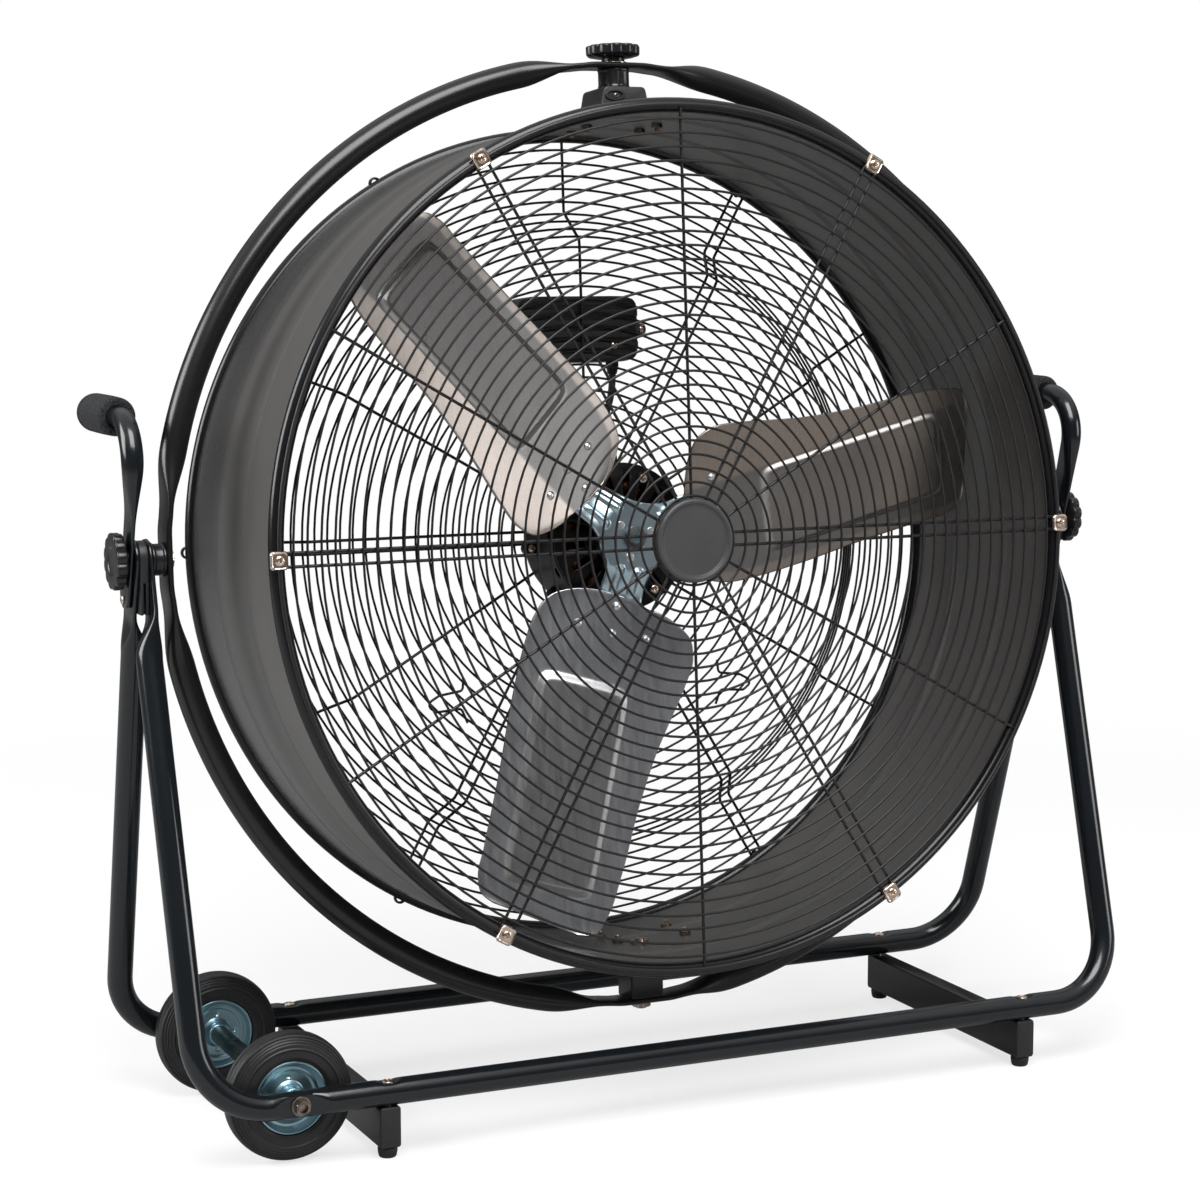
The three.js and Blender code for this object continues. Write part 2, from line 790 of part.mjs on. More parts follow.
// A wire guard as one flat sheet: rings, six double spokes and six single ones between them.
function guardSheet(rings) {
  const half = guardWire / 2;
  const outerEdge = rings[rings.length - 1] + half;
  const centreEdge = rings[0] - half;
  const sheet = extrude(wholeCircle(outerEdge), guardThickness);
  const centre = extrude(wholeCircle(centreEdge), 3 * guardThickness);
  const gaps = [centre.translate(0, 0, -guardThickness)];
  const pair = pairSpacing / 2;
  for (let k = 0; k < rings.length - 1; k += 1) {
    const [inner, outer] = [rings[k] + half, rings[k + 1] - half];
    for (let i = 0; i < 6; i += 1) {
      const double = radians(60 * i);
      const single = radians(60 * i + 30);
      const next = radians(60 * i + 60);
      gaps.push(guardGap(inner, outer, double, pair + half, single, -half, 2));
      gaps.push(guardGap(inner, outer, single, half, next, -pair - half, 2));
      if (outer - inner > 2 * pairSpacing) {
        gaps.push(guardGap(inner, outer, double, half - pair, double, pair - half, 1));
      }
    }
  }
  return cut(sheet, ...gaps).rotateX(Math.PI / 2);
}

const guardHub = capRadius + clearance + guardWire / 2;

function evenRings(from, to, gaps) {
  return Array.from({ length: gaps + 1 }, (_, i) => from + ((to - from) * i) / gaps);
}

function frontGuard() {
  const rings = evenRings(guardHub, guardRim, frontRings);
  return node("front_guard", guardSheet(rings).translate(0, drumFront - flatGap, 0), "wireBlack");
}

// The rear guard steps in towards the motor between two of its rings.
function rearGuard() {
  const rings = [...evenRings(guardHub, dishInner, rearRings), dishOuter, guardRim];
  const sheet = guardSheet(rings);
  const at = sheet.attributes.position;
  for (let i = 0; i < at.count; i += 1) {
    const radius = Math.hypot(at.getX(i), at.getZ(i));
    const share = THREE.MathUtils.clamp((dishOuter - radius) / (dishOuter - dishInner), 0, 1);
    at.setY(i, at.getY(i) - share * dishDepth);
  }
  return node("rear_guard", sheet.translate(0, drumBack + flatGap + guardThickness, 0), "wireBlack");
}

// The inner part of the rear guard, which carries the motor and the control box.
const mountFace = drumBack + flatGap - dishDepth;
const mountBack = mountFace + guardThickness;

function guardCap() {
  const face = drumFront - flatGap - guardThickness - capStandsOut;
  const outline = [
    [0, face + capRecess],
    [capRadius - 6, face + capRecess],
    [capRadius - 5, face],
    [capRadius - 2, face],
    [capRadius, face + 2],
    [capRadius, face + capDepth],
    [0, face + capDepth],
  ];
  return node("guard_cap", turned(outline, 24), "plastic");
}

function guardClip(index) {
  const back = drumFront - 2 * flatGap - guardThickness;
  const plate = new THREE.BoxGeometry(clipSize, clipThickness, clipSize);
  plate.translate(drumRadius, back - clipThickness / 2, 0);
  const front = back - clipThickness;
  const screw = rod(clipScrewRadius, front - clipScrewHeight, front + 1, 8).translate(drumRadius, 0, 0);
  const clip = join(plate, screw).rotateY(-radians(60 * index));
  return node(`guard_clip_${index + 1}`, clip, "nickel");
}

// ---------------------------------------------------------------- drum pivots in the ring, along Z
const bracketFoot = drumRadius + clearance;
const bracketTop = drumRadius + topBracketHeight;
const topFlat = ringHalfHeight - ringFlatThickness / 2 - flatGap;

function drumBoltHole() {
  return aboutZ(rod(holeRadius(drumBoltRadius, 10), -2 * drumRadius, 2 * drumRadius, 10));
}

function topBracket() {
  const shape = outlineShape([
    [-topBracketHalf, bracketFoot],
    [topBracketHalf, bracketFoot],
    [topBracketHalf, bracketTop - 8],
    [topBracketShoulder, bracketTop],
    [-topBracketShoulder, bracketTop],
    [-topBracketHalf, bracketTop - 8],
  ]);
  const block = extrude(shape, 2 * bracketHalfDepth).rotateX(Math.PI / 2).translate(0, bracketHalfDepth, 0);
  return node("top_bracket", cut(block, drumBoltHole()), "plastic");
}

function topSpacer() {
  const spacer = aboutZ(bush(topSpacerRadius, drumBoltRadius, bracketTop + flatGap, topFlat, 16));
  return node("top_spacer", spacer, "plastic");
}

function bottomBracket() {
  const size = 2 * bottomBracketHalf;
  const height = topFlat - bracketFoot;
  const block = new THREE.BoxGeometry(size, size, height).translate(0, 0, -bracketFoot - height / 2);
  return node("bottom_bracket", cut(block, drumBoltHole()), "satinBlack");
}

const skinInside = (drumRadius - drumWall) * Math.cos(Math.PI / drumSides) - clearance;
const topKnobFrom = ringHalfHeight + ringFlatThickness / 2 + flatGap;

function topBolt() {
  const outline = [
    [0, skinInside - drumBoltHeadHeight],
    [drumBoltHead, skinInside - drumBoltHeadHeight],
    [drumBoltHead, skinInside],
    [drumBoltRadius, skinInside],
    [drumBoltRadius, topKnobFrom + boltInKnob],
    [0, topKnobFrom + boltInKnob],
  ];
  return node("top_bolt", aboutZ(turned(outline, 10)), "nickel");
}

function bottomBolt() {
  const outline = [
    [0, -topKnobFrom - drumBoltHeadHeight],
    [drumBoltHead, -topKnobFrom - drumBoltHeadHeight],
    [drumBoltHead, -topKnobFrom],
    [drumBoltRadius, -topKnobFrom],
    [drumBoltRadius, -skinInside],
    [drumBoltHead, -skinInside],
    [drumBoltHead, -skinInside + drumBoltHeadHeight],
    [0, -skinInside + drumBoltHeadHeight],
  ];
  return node("bottom_bolt", aboutZ(turned(outline, 10)), "nickel");
}

function topKnob() {
  return node("knob_top", knob(topKnobNeck, drumBoltRadius).translate(0, 0, topKnobFrom), "plastic");
}

// ---------------------------------------------------------------- motor
const motorBack = mountFace - flatGap;
const shaftEnd = motorBack - motorWall - clearance;
const statorOuter = motorRadius - motorWall - clearance;
const statorMiddle = (motorFront + motorBack) / 2;
const motorSides = 16;

function motorCan() {
  const hole = holeRadius(motorShaftRadius, motorSides);
  const outline = [
    [0, motorBack],
    [motorRadius - 4, motorBack],
    [motorRadius, motorBack - 4],
    [motorRadius, motorFront],
    [motorRadius - motorWall, motorFront],
    [motorRadius - motorWall, motorBack - motorWall - 2],
    [bearingBoss, motorBack - motorWall - 2],
    [bearingBoss, motorBack - 12],
    [hole, motorBack - 12],
    [hole, motorBack - motorWall],
    [0, motorBack - motorWall],
  ];
  return node("motor_can", turned(outline, motorSides), "satinBlack");
}

function motorBell() {
  const hole = holeRadius(motorShaftRadius, motorSides);
  const edge = motorFront - flatGap;
  const outline = [
    [hole, edge - bellRise - 3],
    [bearingBoss, edge - bellRise - 3],
    [bearingBoss + 3, edge - bellRise],
    [motorRadius - 14, edge - bellRise],
    [motorRadius, edge - 2],
    [motorRadius, edge],
    [motorRadius - 8, edge],
    [motorRadius - 16, edge - bellRise + motorWall],
    [bearingBoss + 2, edge - bellRise + motorWall],
    [bearingBoss, edge],
    [hole, edge],
  ];
  return node("motor_bell", closedTurned(outline, motorSides), "satinBlack");
}

function stator() {
  const [from, to] = [statorMiddle - statorDepth / 2, statorMiddle + statorDepth / 2];
  const outline = [
    [statorInner, from + 10],
    [statorInner + 8, from],
    [statorOuter - 12, from],
    [statorOuter, from + 12],
    [statorOuter, to - 12],
    [statorOuter - 12, to],
    [statorInner + 8, to],
    [statorInner, to - 10],
  ];
  return node("stator", closedTurned(outline, motorSides), "copper");
}

function motorShaft() {
  const core = statorInner * Math.cos(Math.PI / motorSides) - 2 * clearance;
  const [from, to] = [statorMiddle - rotorCoreDepth / 2, statorMiddle + rotorCoreDepth / 2];
  const nutBack = hubBossFront - flatGap;
  const outline = [
    [0, nutBack - shaftNutHeight],
    [shaftNutRadius, nutBack - shaftNutHeight],
    [shaftNutRadius, nutBack],
    [motorShaftRadius, nutBack],
    [motorShaftRadius, from],
    [core, from],
    [core, to],
    [motorShaftRadius, to],
    [motorShaftRadius, shaftEnd],
    [0, shaftEnd],
  ];
  return node("motor_shaft", turned(outline, 16), "zinc");
}

// ---------------------------------------------------------------- blades and their hub
// Blade outlines as shares: along the base line from root to tip, and beside it in blade widths.
const bladeLow = [
  [0, -0.186], [0.028, -0.273], [0.093, -0.301], [0.349, -0.219],
  [0.598, -0.12], [0.847, -0.033], [0.961, 0.022], [0.996, 0.109],
];
const bladeHigh = [
  [0.979, 0.645], [0.9, 0.699], [0.74, 0.689], [0.491, 0.612],
  [0.295, 0.596], [0.135, 0.585], [0.043, 0.536], [0.004, 0.415],
];
const panelOutline = [[0.199, -0.109], [0.883, 0.12], [0.89, 0.536], [0.214, 0.361]];
const rivets = [[0.05, 0.011], [0.071, 0.251], [0.107, -0.098]];

function onBlade([along, beside]) {
  return [bladeRoot + along * (bladeTip - bladeRoot), beside * bladeWidth];
}

// Turns a piece drawn flat, X along the base line and Y beside it, to its pitch and place.
function pitched(geometry, index) {
  geometry.rotateX(radians(90 + bladePitch)).translate(0, bladeAxisY, 0);
  return geometry.rotateY(-radians(bladeTurn + (360 / bladeCount) * index));
}

function blade(index) {
  const sheet = extrude(outlineShape([...bladeLow, ...bladeHigh].map(onBlade)), bladeThickness);
  const panel = extrude(outlineShape(panelOutline.map(onBlade)), bladeThickness + panelRise);
  panel.translate(0, 0, 0.5);
  const heads = rivets.map(([u, v]) =>
    aboutZ(rod(rivetRadius, 0.5, bladeThickness + rivetHeight, 8)).translate(...onBlade([u, v]), 0)
  );
  return node(`blade_${index + 1}`, pitched(join(sheet, panel, ...heads), index), "aluminium");
}

function hubSpider() {
  const boss = rod(hubBossRadius, hubBossFront, hubBossBack, 18);
  const arms = Array.from({ length: bladeCount }, (_, index) => {
    const arm = new THREE.BoxGeometry(armReach, armWidth, armThickness);
    arm.translate(armReach / 2 + 4, armOffset, -armThickness / 2 - clearance);
    return pitched(arm, index);
  });
  const bore = rod(holeRadius(motorShaftRadius, 16), hubBossFront - 1, hubBossBack + 1, 16);
  return node("hub_spider", cut(join(boss, ...arms), bore), "zinc");
}

// ---------------------------------------------------------------- control box and lead
const boxFront = mountBack + flatGap;
const boxBack = boxFront + boxDepth;
const boxMiddle = boxBottom + boxHeight / 2;

function controlBox() {
  const [w, low, high, c] = [boxHalfWidth, boxBottom, boxBottom + boxHeight, boxCorner];
  const shape = outlineShape([
    [-w + c, low],
    [w - c, low],
    [w, low + c],
    [w, high - c],
    [w - c, high],
    [-w + c, high],
    [-w, high - c],
    [-w, low + c],
  ]);
  const box = extrude(shape, boxDepth).rotateX(Math.PI / 2).translate(0, boxBack, 0);
  return node("control_box", box, "plastic");
}

function cableGland() {
  const from = boxHalfWidth + flatGap;
  const bore = glandBore - clearance;
  const ring = aboutX(bush(glandRadius, bore, from, from + glandLength, 12));
  return node("cable_gland", ring.translate(0, (boxFront + boxBack) / 2, glandHeight), "nickel");
}

function speedDial() {
  const from = boxBack + flatGap;
  const base = rod(dialRadius, from, from + dialHeight - dialGripRise, 16);
  const bar = new THREE.BoxGeometry(dialGripWidth, dialGripRise + 2, 2 * dialRadius - 6);
  bar.translate(0, from + dialHeight - dialGripRise / 2 - 1, 0);
  return node("speed_dial", join(base, bar).translate(0, 0, boxMiddle), "plastic");
}

// The motor's lead: out of the box, down behind the guard and forward between its wires to the can.
function motorLead() {
  const x = boxHalfWidth - boxCorner - 8;
  const behind = (boxFront + boxBack) / 2;
  const reach = motorRadius + leadRadius + 22;
  const points = [
    [x, behind, boxBottom - clearance],
    [x, behind, boxBottom - 14],
    [x - 3, behind - 1, boxBottom - 34],
    [x - 9, behind - 3, reach + 24],
    [x - 15, behind - 8, reach + 8],
    [x - 19, mountBack + 8, reach - 2],
    [x - 20, mountBack, reach - 7],
    [x - 20, mountFace - 6, reach - 10],
    [x - 20, mountFace - 12, reach - 16],
    [x - 20, mountFace - 15, reach - 24],
    [x - 20, mountFace - 15, Math.sqrt(motorRadius ** 2 - (x - 24) ** 2) + 4 * clearance],
  ].map((p) => new THREE.Vector3(...p));
  return node("motor_lead", tube(points, leadRadius, 8), "rubber");
}

// ---------------------------------------------------------------- assembly
function rotor() {
  const group = new THREE.Group();
  group.add(motorShaft(), hubSpider());
  for (let i = 0; i < bladeCount; i += 1) {
    group.add(blade(i));
  }
  return group;
}

function drum() {
  const group = new THREE.Group();
  group.add(drumShell(), frontGuard(), rearGuard(), guardCap());
  for (let i = 0; i < 6; i += 1) {
    group.add(guardClip(i));
  }
  group.add(topBracket(), topSpacer(), topBolt(), topKnob(), bottomBracket(), bottomBolt());
  group.add(motorCan(), motorBell(), stator());
  group.add(controlBox(), cableGland(), speedDial(), motorLead());
  group.add(rotor());
  return group;
}

function tilted() {
  const group = new THREE.Group();
  group.add(orbitRing(), drum());
  group.rotation.x = radians(ringTilt);
  group.position.z = pivotHeight;
  return group;
}

const fan = new THREE.Group();
fan.add(...baseParts(), ...axleParts(), ...wheel("rear", 0), ...wheel("front", Math.PI));
fan.add(...sideParts("left", -1), ...sideParts("right", 1));
fan.add(tilted());

export default fan;
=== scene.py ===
# %% [markdown]
# # A drum fan on a tube stand
# The real object is a workshop fan. A sheet steel drum holds a motor and three pressed blades behind wire
# guards, the drum turns inside an orbit ring, and the ring tilts between the legs of a tube stand.
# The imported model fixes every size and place. Its facets could be painted, but its tubes have few sides, so
# each piece is drawn again here as a smooth surface that stands where the facets are.

# %% Load the fixed frame
import json

import bmesh
import bpy
import numpy as np
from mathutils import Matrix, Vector


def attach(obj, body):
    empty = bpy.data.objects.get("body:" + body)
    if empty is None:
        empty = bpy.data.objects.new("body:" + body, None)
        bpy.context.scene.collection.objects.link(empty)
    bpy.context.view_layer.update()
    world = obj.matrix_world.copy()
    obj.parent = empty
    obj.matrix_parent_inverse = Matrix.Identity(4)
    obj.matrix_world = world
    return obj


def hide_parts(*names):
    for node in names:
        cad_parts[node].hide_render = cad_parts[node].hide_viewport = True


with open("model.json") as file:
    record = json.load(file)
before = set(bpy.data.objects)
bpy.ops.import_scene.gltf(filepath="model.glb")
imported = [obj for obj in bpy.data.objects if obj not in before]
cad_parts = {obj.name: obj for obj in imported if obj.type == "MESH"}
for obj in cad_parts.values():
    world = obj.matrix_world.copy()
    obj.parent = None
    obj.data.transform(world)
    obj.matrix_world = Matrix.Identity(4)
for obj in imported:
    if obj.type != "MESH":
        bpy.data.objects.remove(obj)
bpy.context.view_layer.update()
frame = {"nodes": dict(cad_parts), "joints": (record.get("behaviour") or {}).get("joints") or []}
MM = 0.001

# %% [markdown]
# ## The two frames of reference
# The stand is square to the floor. Everything inside the orbit ring leans back with it, so it is easier to
# draw the drum upright about its own middle and to lean the finished points. The lean and the height of
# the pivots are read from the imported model, so the two can't drift apart.


# %% Read places from the frame
def node_points(node):
    """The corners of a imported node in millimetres, one row each."""
    vertices = frame["nodes"][node].data.vertices
    flat = np.empty(3 * len(vertices), np.float32)
    vertices.foreach_get("co", flat)
    return flat.reshape(-1, 3).astype(float) / MM


def node_span(node):
    """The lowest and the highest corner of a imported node."""
    points = node_points(node)
    return points.min(0), points.max(0)


def node_middle(node):
    """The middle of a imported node's box."""
    return np.mean(node_span(node), 0)


def turning(axis, degrees):
    """The matrix of a turn about X, Y or Z, which are axes 0, 1 and 2."""
    c, s = np.cos(np.radians(degrees)), np.sin(np.radians(degrees))
    return np.roll([[1, 0, 0], [0, c, -s], [0, s, c]], axis, (0, 1))


SPIN = next(joint for joint in frame["joints"] if joint["name"] == "rotor_spin")["axis"]
LEAN = np.degrees(np.arctan2(SPIN[2], SPIN[1]))
PIVOT = node_middle("pivot_bolt_left")[2]
AT_PIVOT = (0, 0, PIVOT)
LEANING = {"ring", "drum", "rotor", "dial", "swivel_knob"}
LEAN_MATRIX = turning(0, LEAN)


def drum_span(node):
    """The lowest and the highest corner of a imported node, turned back upright about the drum's middle."""
    points = (node_points(node) - AT_PIVOT) @ LEAN_MATRIX
    return points.min(0), points.max(0)


def drum_ends(node, axis=1):
    """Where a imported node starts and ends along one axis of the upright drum."""
    return [corner[axis] for corner in drum_span(node)]


print("the ring leans", round(LEAN, 2), "degrees and its pivots are", round(PIVOT, 1), "mm up")

# %% [markdown]
# ## Surfaces from arrays
# A surface is a grid of points worked out in one go. A turned part carries a profile round an axis, a tube
# carries a section along a path, and a plate grows from an outline. Spin and Screw modifiers could do the
# same, but an array says in one line how the real part was made.


# %% Grids, and ways to place them
def ease(value):
    """0 below 0, 1 above 1, and a smooth step between."""
    share = np.clip(value, 0, 1)
    return share * share * (3 - 2 * share)


def bump(value):
    """A smooth hill, 1 in the middle and 0 from 1 away."""
    return 1 - ease(np.abs(value))


def unit(vectors):
    """Vectors of length 1 in the same directions."""
    return vectors / np.linalg.norm(vectors, axis=-1, keepdims=True)


def turns(count):
    """Angles that share out a full turn."""
    return 2 * np.pi * np.arange(count) / count


def polar(radius, angle, height, axis=2):
    """Points at a radius and an angle about an axis, and at a height along it."""
    points = np.empty((*np.broadcast(radius, angle).shape, 3))
    points[..., (axis + 1) % 3] = radius * np.cos(angle)
    points[..., (axis + 2) % 3] = radius * np.sin(angle)
    points[..., axis] = height
    return points


def grid(points, around=False, keep=None):
    """Four-sided faces between neighbours in a grid of points. around joins the last column to the first."""
    rows, columns = points.shape[:2]
    index = np.arange(rows * columns).reshape(rows, columns)
    if around:
        index = np.hstack([index, index[:, :1]])
    faces = np.stack([index[:-1, :-1], index[:-1, 1:], index[1:, 1:], index[1:, :-1]], -1)
    return points.reshape(-1, 3), faces[keep] if keep is not None else faces.reshape(-1, 4)


def moved(patch, offset):
    """A patch shifted by an offset."""
    return patch[0] + np.asarray(offset, float), patch[1]


def rotated(patch, axis, degrees):
    """A patch turned about an axis."""
    return patch[0] @ turning(axis, degrees).T, patch[1]


def mirrored(patch, side):
    """A patch drawn for the right side, kept there or put on the left."""
    return patch[0] * (side, 1, 1), patch[1]


# %% Profiles and turned parts
def eased(points, radius, closed=False, steps=4):
    """Rounds corners: each becomes the curve (1-t)^2 a + 2t(1-t) p + t^2 b from one side to the other."""
    points = np.asarray(points, float)
    gaps = [np.roll(points, way, 0) - points for way in (1, -1)]
    sizes = [np.maximum(np.linalg.norm(gap, axis=1, keepdims=True), 1e-9) for gap in gaps]
    a, b = ((points + gap * np.minimum(radius / size, 0.49))[:, None] for gap, size in zip(gaps, sizes))
    t = np.linspace(0, 1, steps)[None, :, None]
    curves = (1 - t) ** 2 * a + 2 * t * (1 - t) * points[:, None] + t**2 * b
    if closed:
        return curves.reshape(-1, points.shape[1])
    return np.vstack([points[:1], curves[1:-1].reshape(-1, points.shape[1]), points[-1:]])


def closed_profile(points, radius):
    """A profile that ends where it starts, with eased corners, for a ring or a bush."""
    outline = eased(points, radius, closed=True)
    return np.vstack([outline, outline[:1]])


def lathe(profile, axis, sides=48):
    """A profile of (radius, height) pairs carried round an axis."""
    radius, height = np.hsplit(np.asarray(profile, float), 2)
    return grid(polar(radius, turns(sides), height, axis), around=True)


def rod(radius, low, high, axis, sides=32, edge=0.0):
    """A solid round bar, with eased ends where an edge is given."""
    profile = [(0, low), (radius, low), (radius, high), (0, high)]
    return lathe(eased(profile, edge) if edge else profile, axis, sides)


def washer(radius, bore, low, high, axis=2, sides=48, edge=0.3):
    """A ring or a short tube with eased edges."""
    profile = closed_profile([(bore, low), (radius, low), (radius, high), (bore, high)], edge)
    return lathe(profile, axis, sides)


# %% Paths and tubes
def bent(points, radius, steps=14):
    """A route with its corners as arcs of the given radii.
    An arc's middle is radius / sin(half the corner's angle) from the corner, on the line that halves it."""
    points = np.asarray(points, float)
    corner = points[1:-1]
    radius = np.broadcast_to(np.asarray(radius, float), len(corner))[:, None]
    back, ahead = unit(points[:-2] - corner), unit(points[2:] - corner)
    half = np.arccos(np.clip((back * ahead).sum(1, keepdims=True), -1, 1)) / 2
    middle = corner + unit(back + ahead) * radius / np.sin(half)
    start, end = ((corner + way * radius / np.tan(half) - middle)[:, None] for way in (back, ahead))
    swept = (np.pi - 2 * half)[:, :, None]
    t = np.linspace(0, 1, steps)[None, :, None]
    arcs = middle[:, None] + (np.sin((1 - t) * swept) * start + np.sin(t * swept) * end) / np.sin(swept)
    return np.vstack([points[:1], arcs.reshape(-1, 3), points[-1:]])


def even(points, step):
    """The same route with a point every step, and how far along it each point is."""
    length = np.r_[0, np.cumsum(np.linalg.norm(np.diff(points, axis=0), axis=1))]
    at = np.linspace(0, length[-1], int(round(length[-1] / step)) + 1)
    return np.stack([np.interp(at, length, points[:, k]) for k in range(3)], 1), at


def sweep(path, across, wide, deep, sides=24, loop=False):
    """A tube whose section has half width wide along across, and half width deep square to it and the path.
    The section is a circle pulled apart: its round ends have the smaller half width as their radius."""
    ahead = unit(np.roll(path, -1, 0) - np.roll(path, 1, 0) if loop else np.gradient(path, axis=0))
    across = np.asarray(across, float)
    across = unit(across - ahead * (ahead @ across)[:, None])
    other = np.cross(ahead, across)
    c, s = (np.round(way(turns(sides)), 9) for way in (np.cos, np.sin))
    wide, deep = (np.broadcast_to(half, len(path))[:, None] for half in (wide, deep))
    small = np.minimum(wide, deep)
    u = (np.sign(c) * (wide - small) + small * c)[..., None]
    v = (np.sign(s) * (deep - small) + small * s)[..., None]
    rings = path[:, None] + u * across[:, None] + v * other[:, None]
    if loop:
        return grid(np.vstack([rings, rings[:1]]), around=True)
    first, last = (np.broadcast_to(path[i], (1, sides, 3)) for i in (0, -1))
    return grid(np.vstack([first, rings, last]), around=True)


# %% Plates and fasteners
def plate(outline, low, high, edge, axis):
    """A plate square to an axis. Its rows run from the middle of one face, over the eased edges, to the
    middle of the other face. The outline's two numbers are the other two axes in their order."""
    outline = np.asarray(outline, float)
    middle = (outline.min(0) + outline.max(0)) / 2
    size = np.linalg.norm(outline - middle, axis=1).mean()
    t = np.linspace(0, np.pi / 2, 4)
    rim, rise = 1 - edge / size * (1 - np.sin(t)), edge * (1 - np.cos(t))
    share = np.r_[0, rim, rim[::-1], 0][:, None, None]
    height = np.r_[low, low + rise, (high - rise)[::-1], high][:, None]
    return grid(np.insert(middle + (outline - middle) * share, axis, height, axis=2), around=True)


def rectangle(width, height, corner, middle=(0, 0)):
    """The outline of a rectangle with eased corners."""
    corners = np.array([(-1, -1), (1, -1), (1, 1), (-1, 1)]) * np.array([width, height]) / 2
    return eased(corners, corner, closed=True, steps=6) + middle


def on_foot(top):
    """A grid about Z, closed by a flat foot at height 0 and the foot's middle."""
    foot = top[-1:] * (1, 1, 0)
    return grid(np.vstack([top, foot, foot * 0]), around=True)


def cross_head(radius, rise):
    """A screw head about Z: a low dome, less a cross where x or y is small and the other under half."""
    share, angle = np.linspace(0, 1, 15)[:, None], turns(48)
    x, y = np.abs(share * np.cos(angle)), np.abs(share * np.sin(angle))
    slots = [(1 - ease((a - 0.1) / 0.09)) * (1 - ease((b - 0.52) / 0.09)) for a, b in ((x, y), (y, x))]
    height = rise * (0.35 + 0.65 * np.sqrt(1 - 0.95 * share**2)) - 0.6 * rise * np.maximum(*slots)
    return on_foot(polar(radius * share, angle, height))


def hex_nut(flats, height, bore):
    """A nut about Z: flats / 2 / cos(angle from the nearest flat), cut by a cone at both faces."""
    angle = turns(72)
    full = flats / 2 / np.cos((angle + np.pi / 6) % (np.pi / 3) - np.pi / 6)
    cone, hole = np.minimum(full, 1.04 * flats / 2), bore + 0 * angle
    chamfer = 0.12 * height
    radius = np.array([hole, cone, full, full, cone, hole, hole])
    level = np.array([0, 0, chamfer, height - chamfer, height, height, 0])[:, None]
    return grid(polar(radius, angle, level), around=True)


def along_x(patch):
    """A patch about Z, laid along X so that its top faces out to the right."""
    return rotated(patch, 1, 90)


# %% From arrays to a piece that rides on a body
def make(name, body, finish, *patches, replaces=(), sharp=34, wall=0, tones=None):
    """One piece from its patches: metres, points merged, faces outwards, smooth but for sharp edges."""
    starts = np.cumsum([0] + [len(points) for points, _ in patches[:-1]])
    points = np.vstack([points for points, _ in patches])
    faces = np.vstack([faces + start for (_, faces), start in zip(patches, starts)])
    if body in LEANING:
        points = points @ LEAN_MATRIX.T + AT_PIVOT
    mesh = bpy.data.meshes.new(name)
    mesh.vertices.add(len(points))
    mesh.vertices.foreach_set("co", (points * MM).ravel())
    mesh.loops.add(faces.size)
    mesh.loops.foreach_set("vertex_index", faces.ravel().astype(np.int32))
    mesh.polygons.add(len(faces))
    mesh.polygons.foreach_set("loop_start", np.arange(0, faces.size, 4, dtype=np.int32))
    for title, values in (tones or {}).items():
        mesh.attributes.new(title, "FLOAT", "POINT").data.foreach_set("value", values.ravel())
    mesh.update(calc_edges=True)
    close(mesh)
    mesh.polygons.foreach_set("use_smooth", np.ones(len(mesh.polygons), bool))
    mesh.set_sharp_from_angle(angle=np.radians(sharp))
    piece = place(name, mesh, finish)
    if wall:
        shell = piece.modifiers.new("wall", "SOLIDIFY")
        shell.thickness = wall * MM
        shell.offset = 0
    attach(piece, body)
    if replaces:
        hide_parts(*replaces)
    return piece


def close(mesh):
    """Merges points that share a place, which closes seams and poles, and turns the faces outwards."""
    work = bmesh.new()
    work.from_mesh(mesh)
    bmesh.ops.remove_doubles(work, verts=work.verts, dist=2e-6)
    bmesh.ops.recalc_face_normals(work, faces=work.faces)
    work.to_mesh(mesh)
    work.free()


def place(name, data, finish=None):
    """An object in the scene, with its finish if it is a mesh."""
    if finish:
        data.materials.append(finish.material)
    made = bpy.data.objects.new(name, data)
    bpy.context.scene.collection.objects.link(made)
    return made


# %% [markdown]
# ## Finishes as sums
# A finish is a Principled shader and a few nodes that vary it. Drawing the nodes by hand is slow to read,
# so a small class wraps a socket, and ordinary sums on it add the Math nodes. Patterns follow Object
# coordinates in metres: a noise scale of 1000 makes grain of about a millimetre.


# %% A socket that can be added and multiplied
class Value:
    """A number that varies over a surface: the output of a node."""

    def __init__(self, tree, socket):
        self.tree, self.socket = tree, socket

    def sum(self, operation, first, second):
        return self.tree.node("ShaderNodeMath", {"operation": operation}, {0: first, 1: second})

    def __add__(self, other):
        return self.sum("ADD", self, other)

    def __sub__(self, other):
        return self.sum("SUBTRACT", self, other)

    def __rsub__(self, other):
        return self.sum("SUBTRACT", other, self)

    def __mul__(self, other):
        return self.sum("MULTIPLY", self, other)

    __radd__, __rmul__ = __add__, __mul__

    def above(self, limit, soft):
        """0 below the limit and 1 above it, over a soft edge."""
        inputs = {"Value": self, "From Min": limit - soft, "From Max": limit + soft}
        return self.tree.node("ShaderNodeMapRange", {"interpolation_type": "SMOOTHSTEP"}, inputs)


class Tree:
    """A node tree with one way to add any node."""

    def __init__(self, owner):
        owner.use_nodes = True
        self.nodes, self.links = owner.node_tree.nodes, owner.node_tree.links

    def connect(self, socket, value):
        if isinstance(value, Value):
            self.links.new(value.socket, socket)
        else:
            socket.default_value = value

    def node(self, kind, settings=None, inputs=None, output=0):
        made = self.nodes.new(kind)
        for key, value in (settings or {}).items():
            setattr(made, key, value)
        for key, value in (inputs or {}).items():
            self.connect(made.inputs[key], value)
        return Value(self, made.outputs[output])


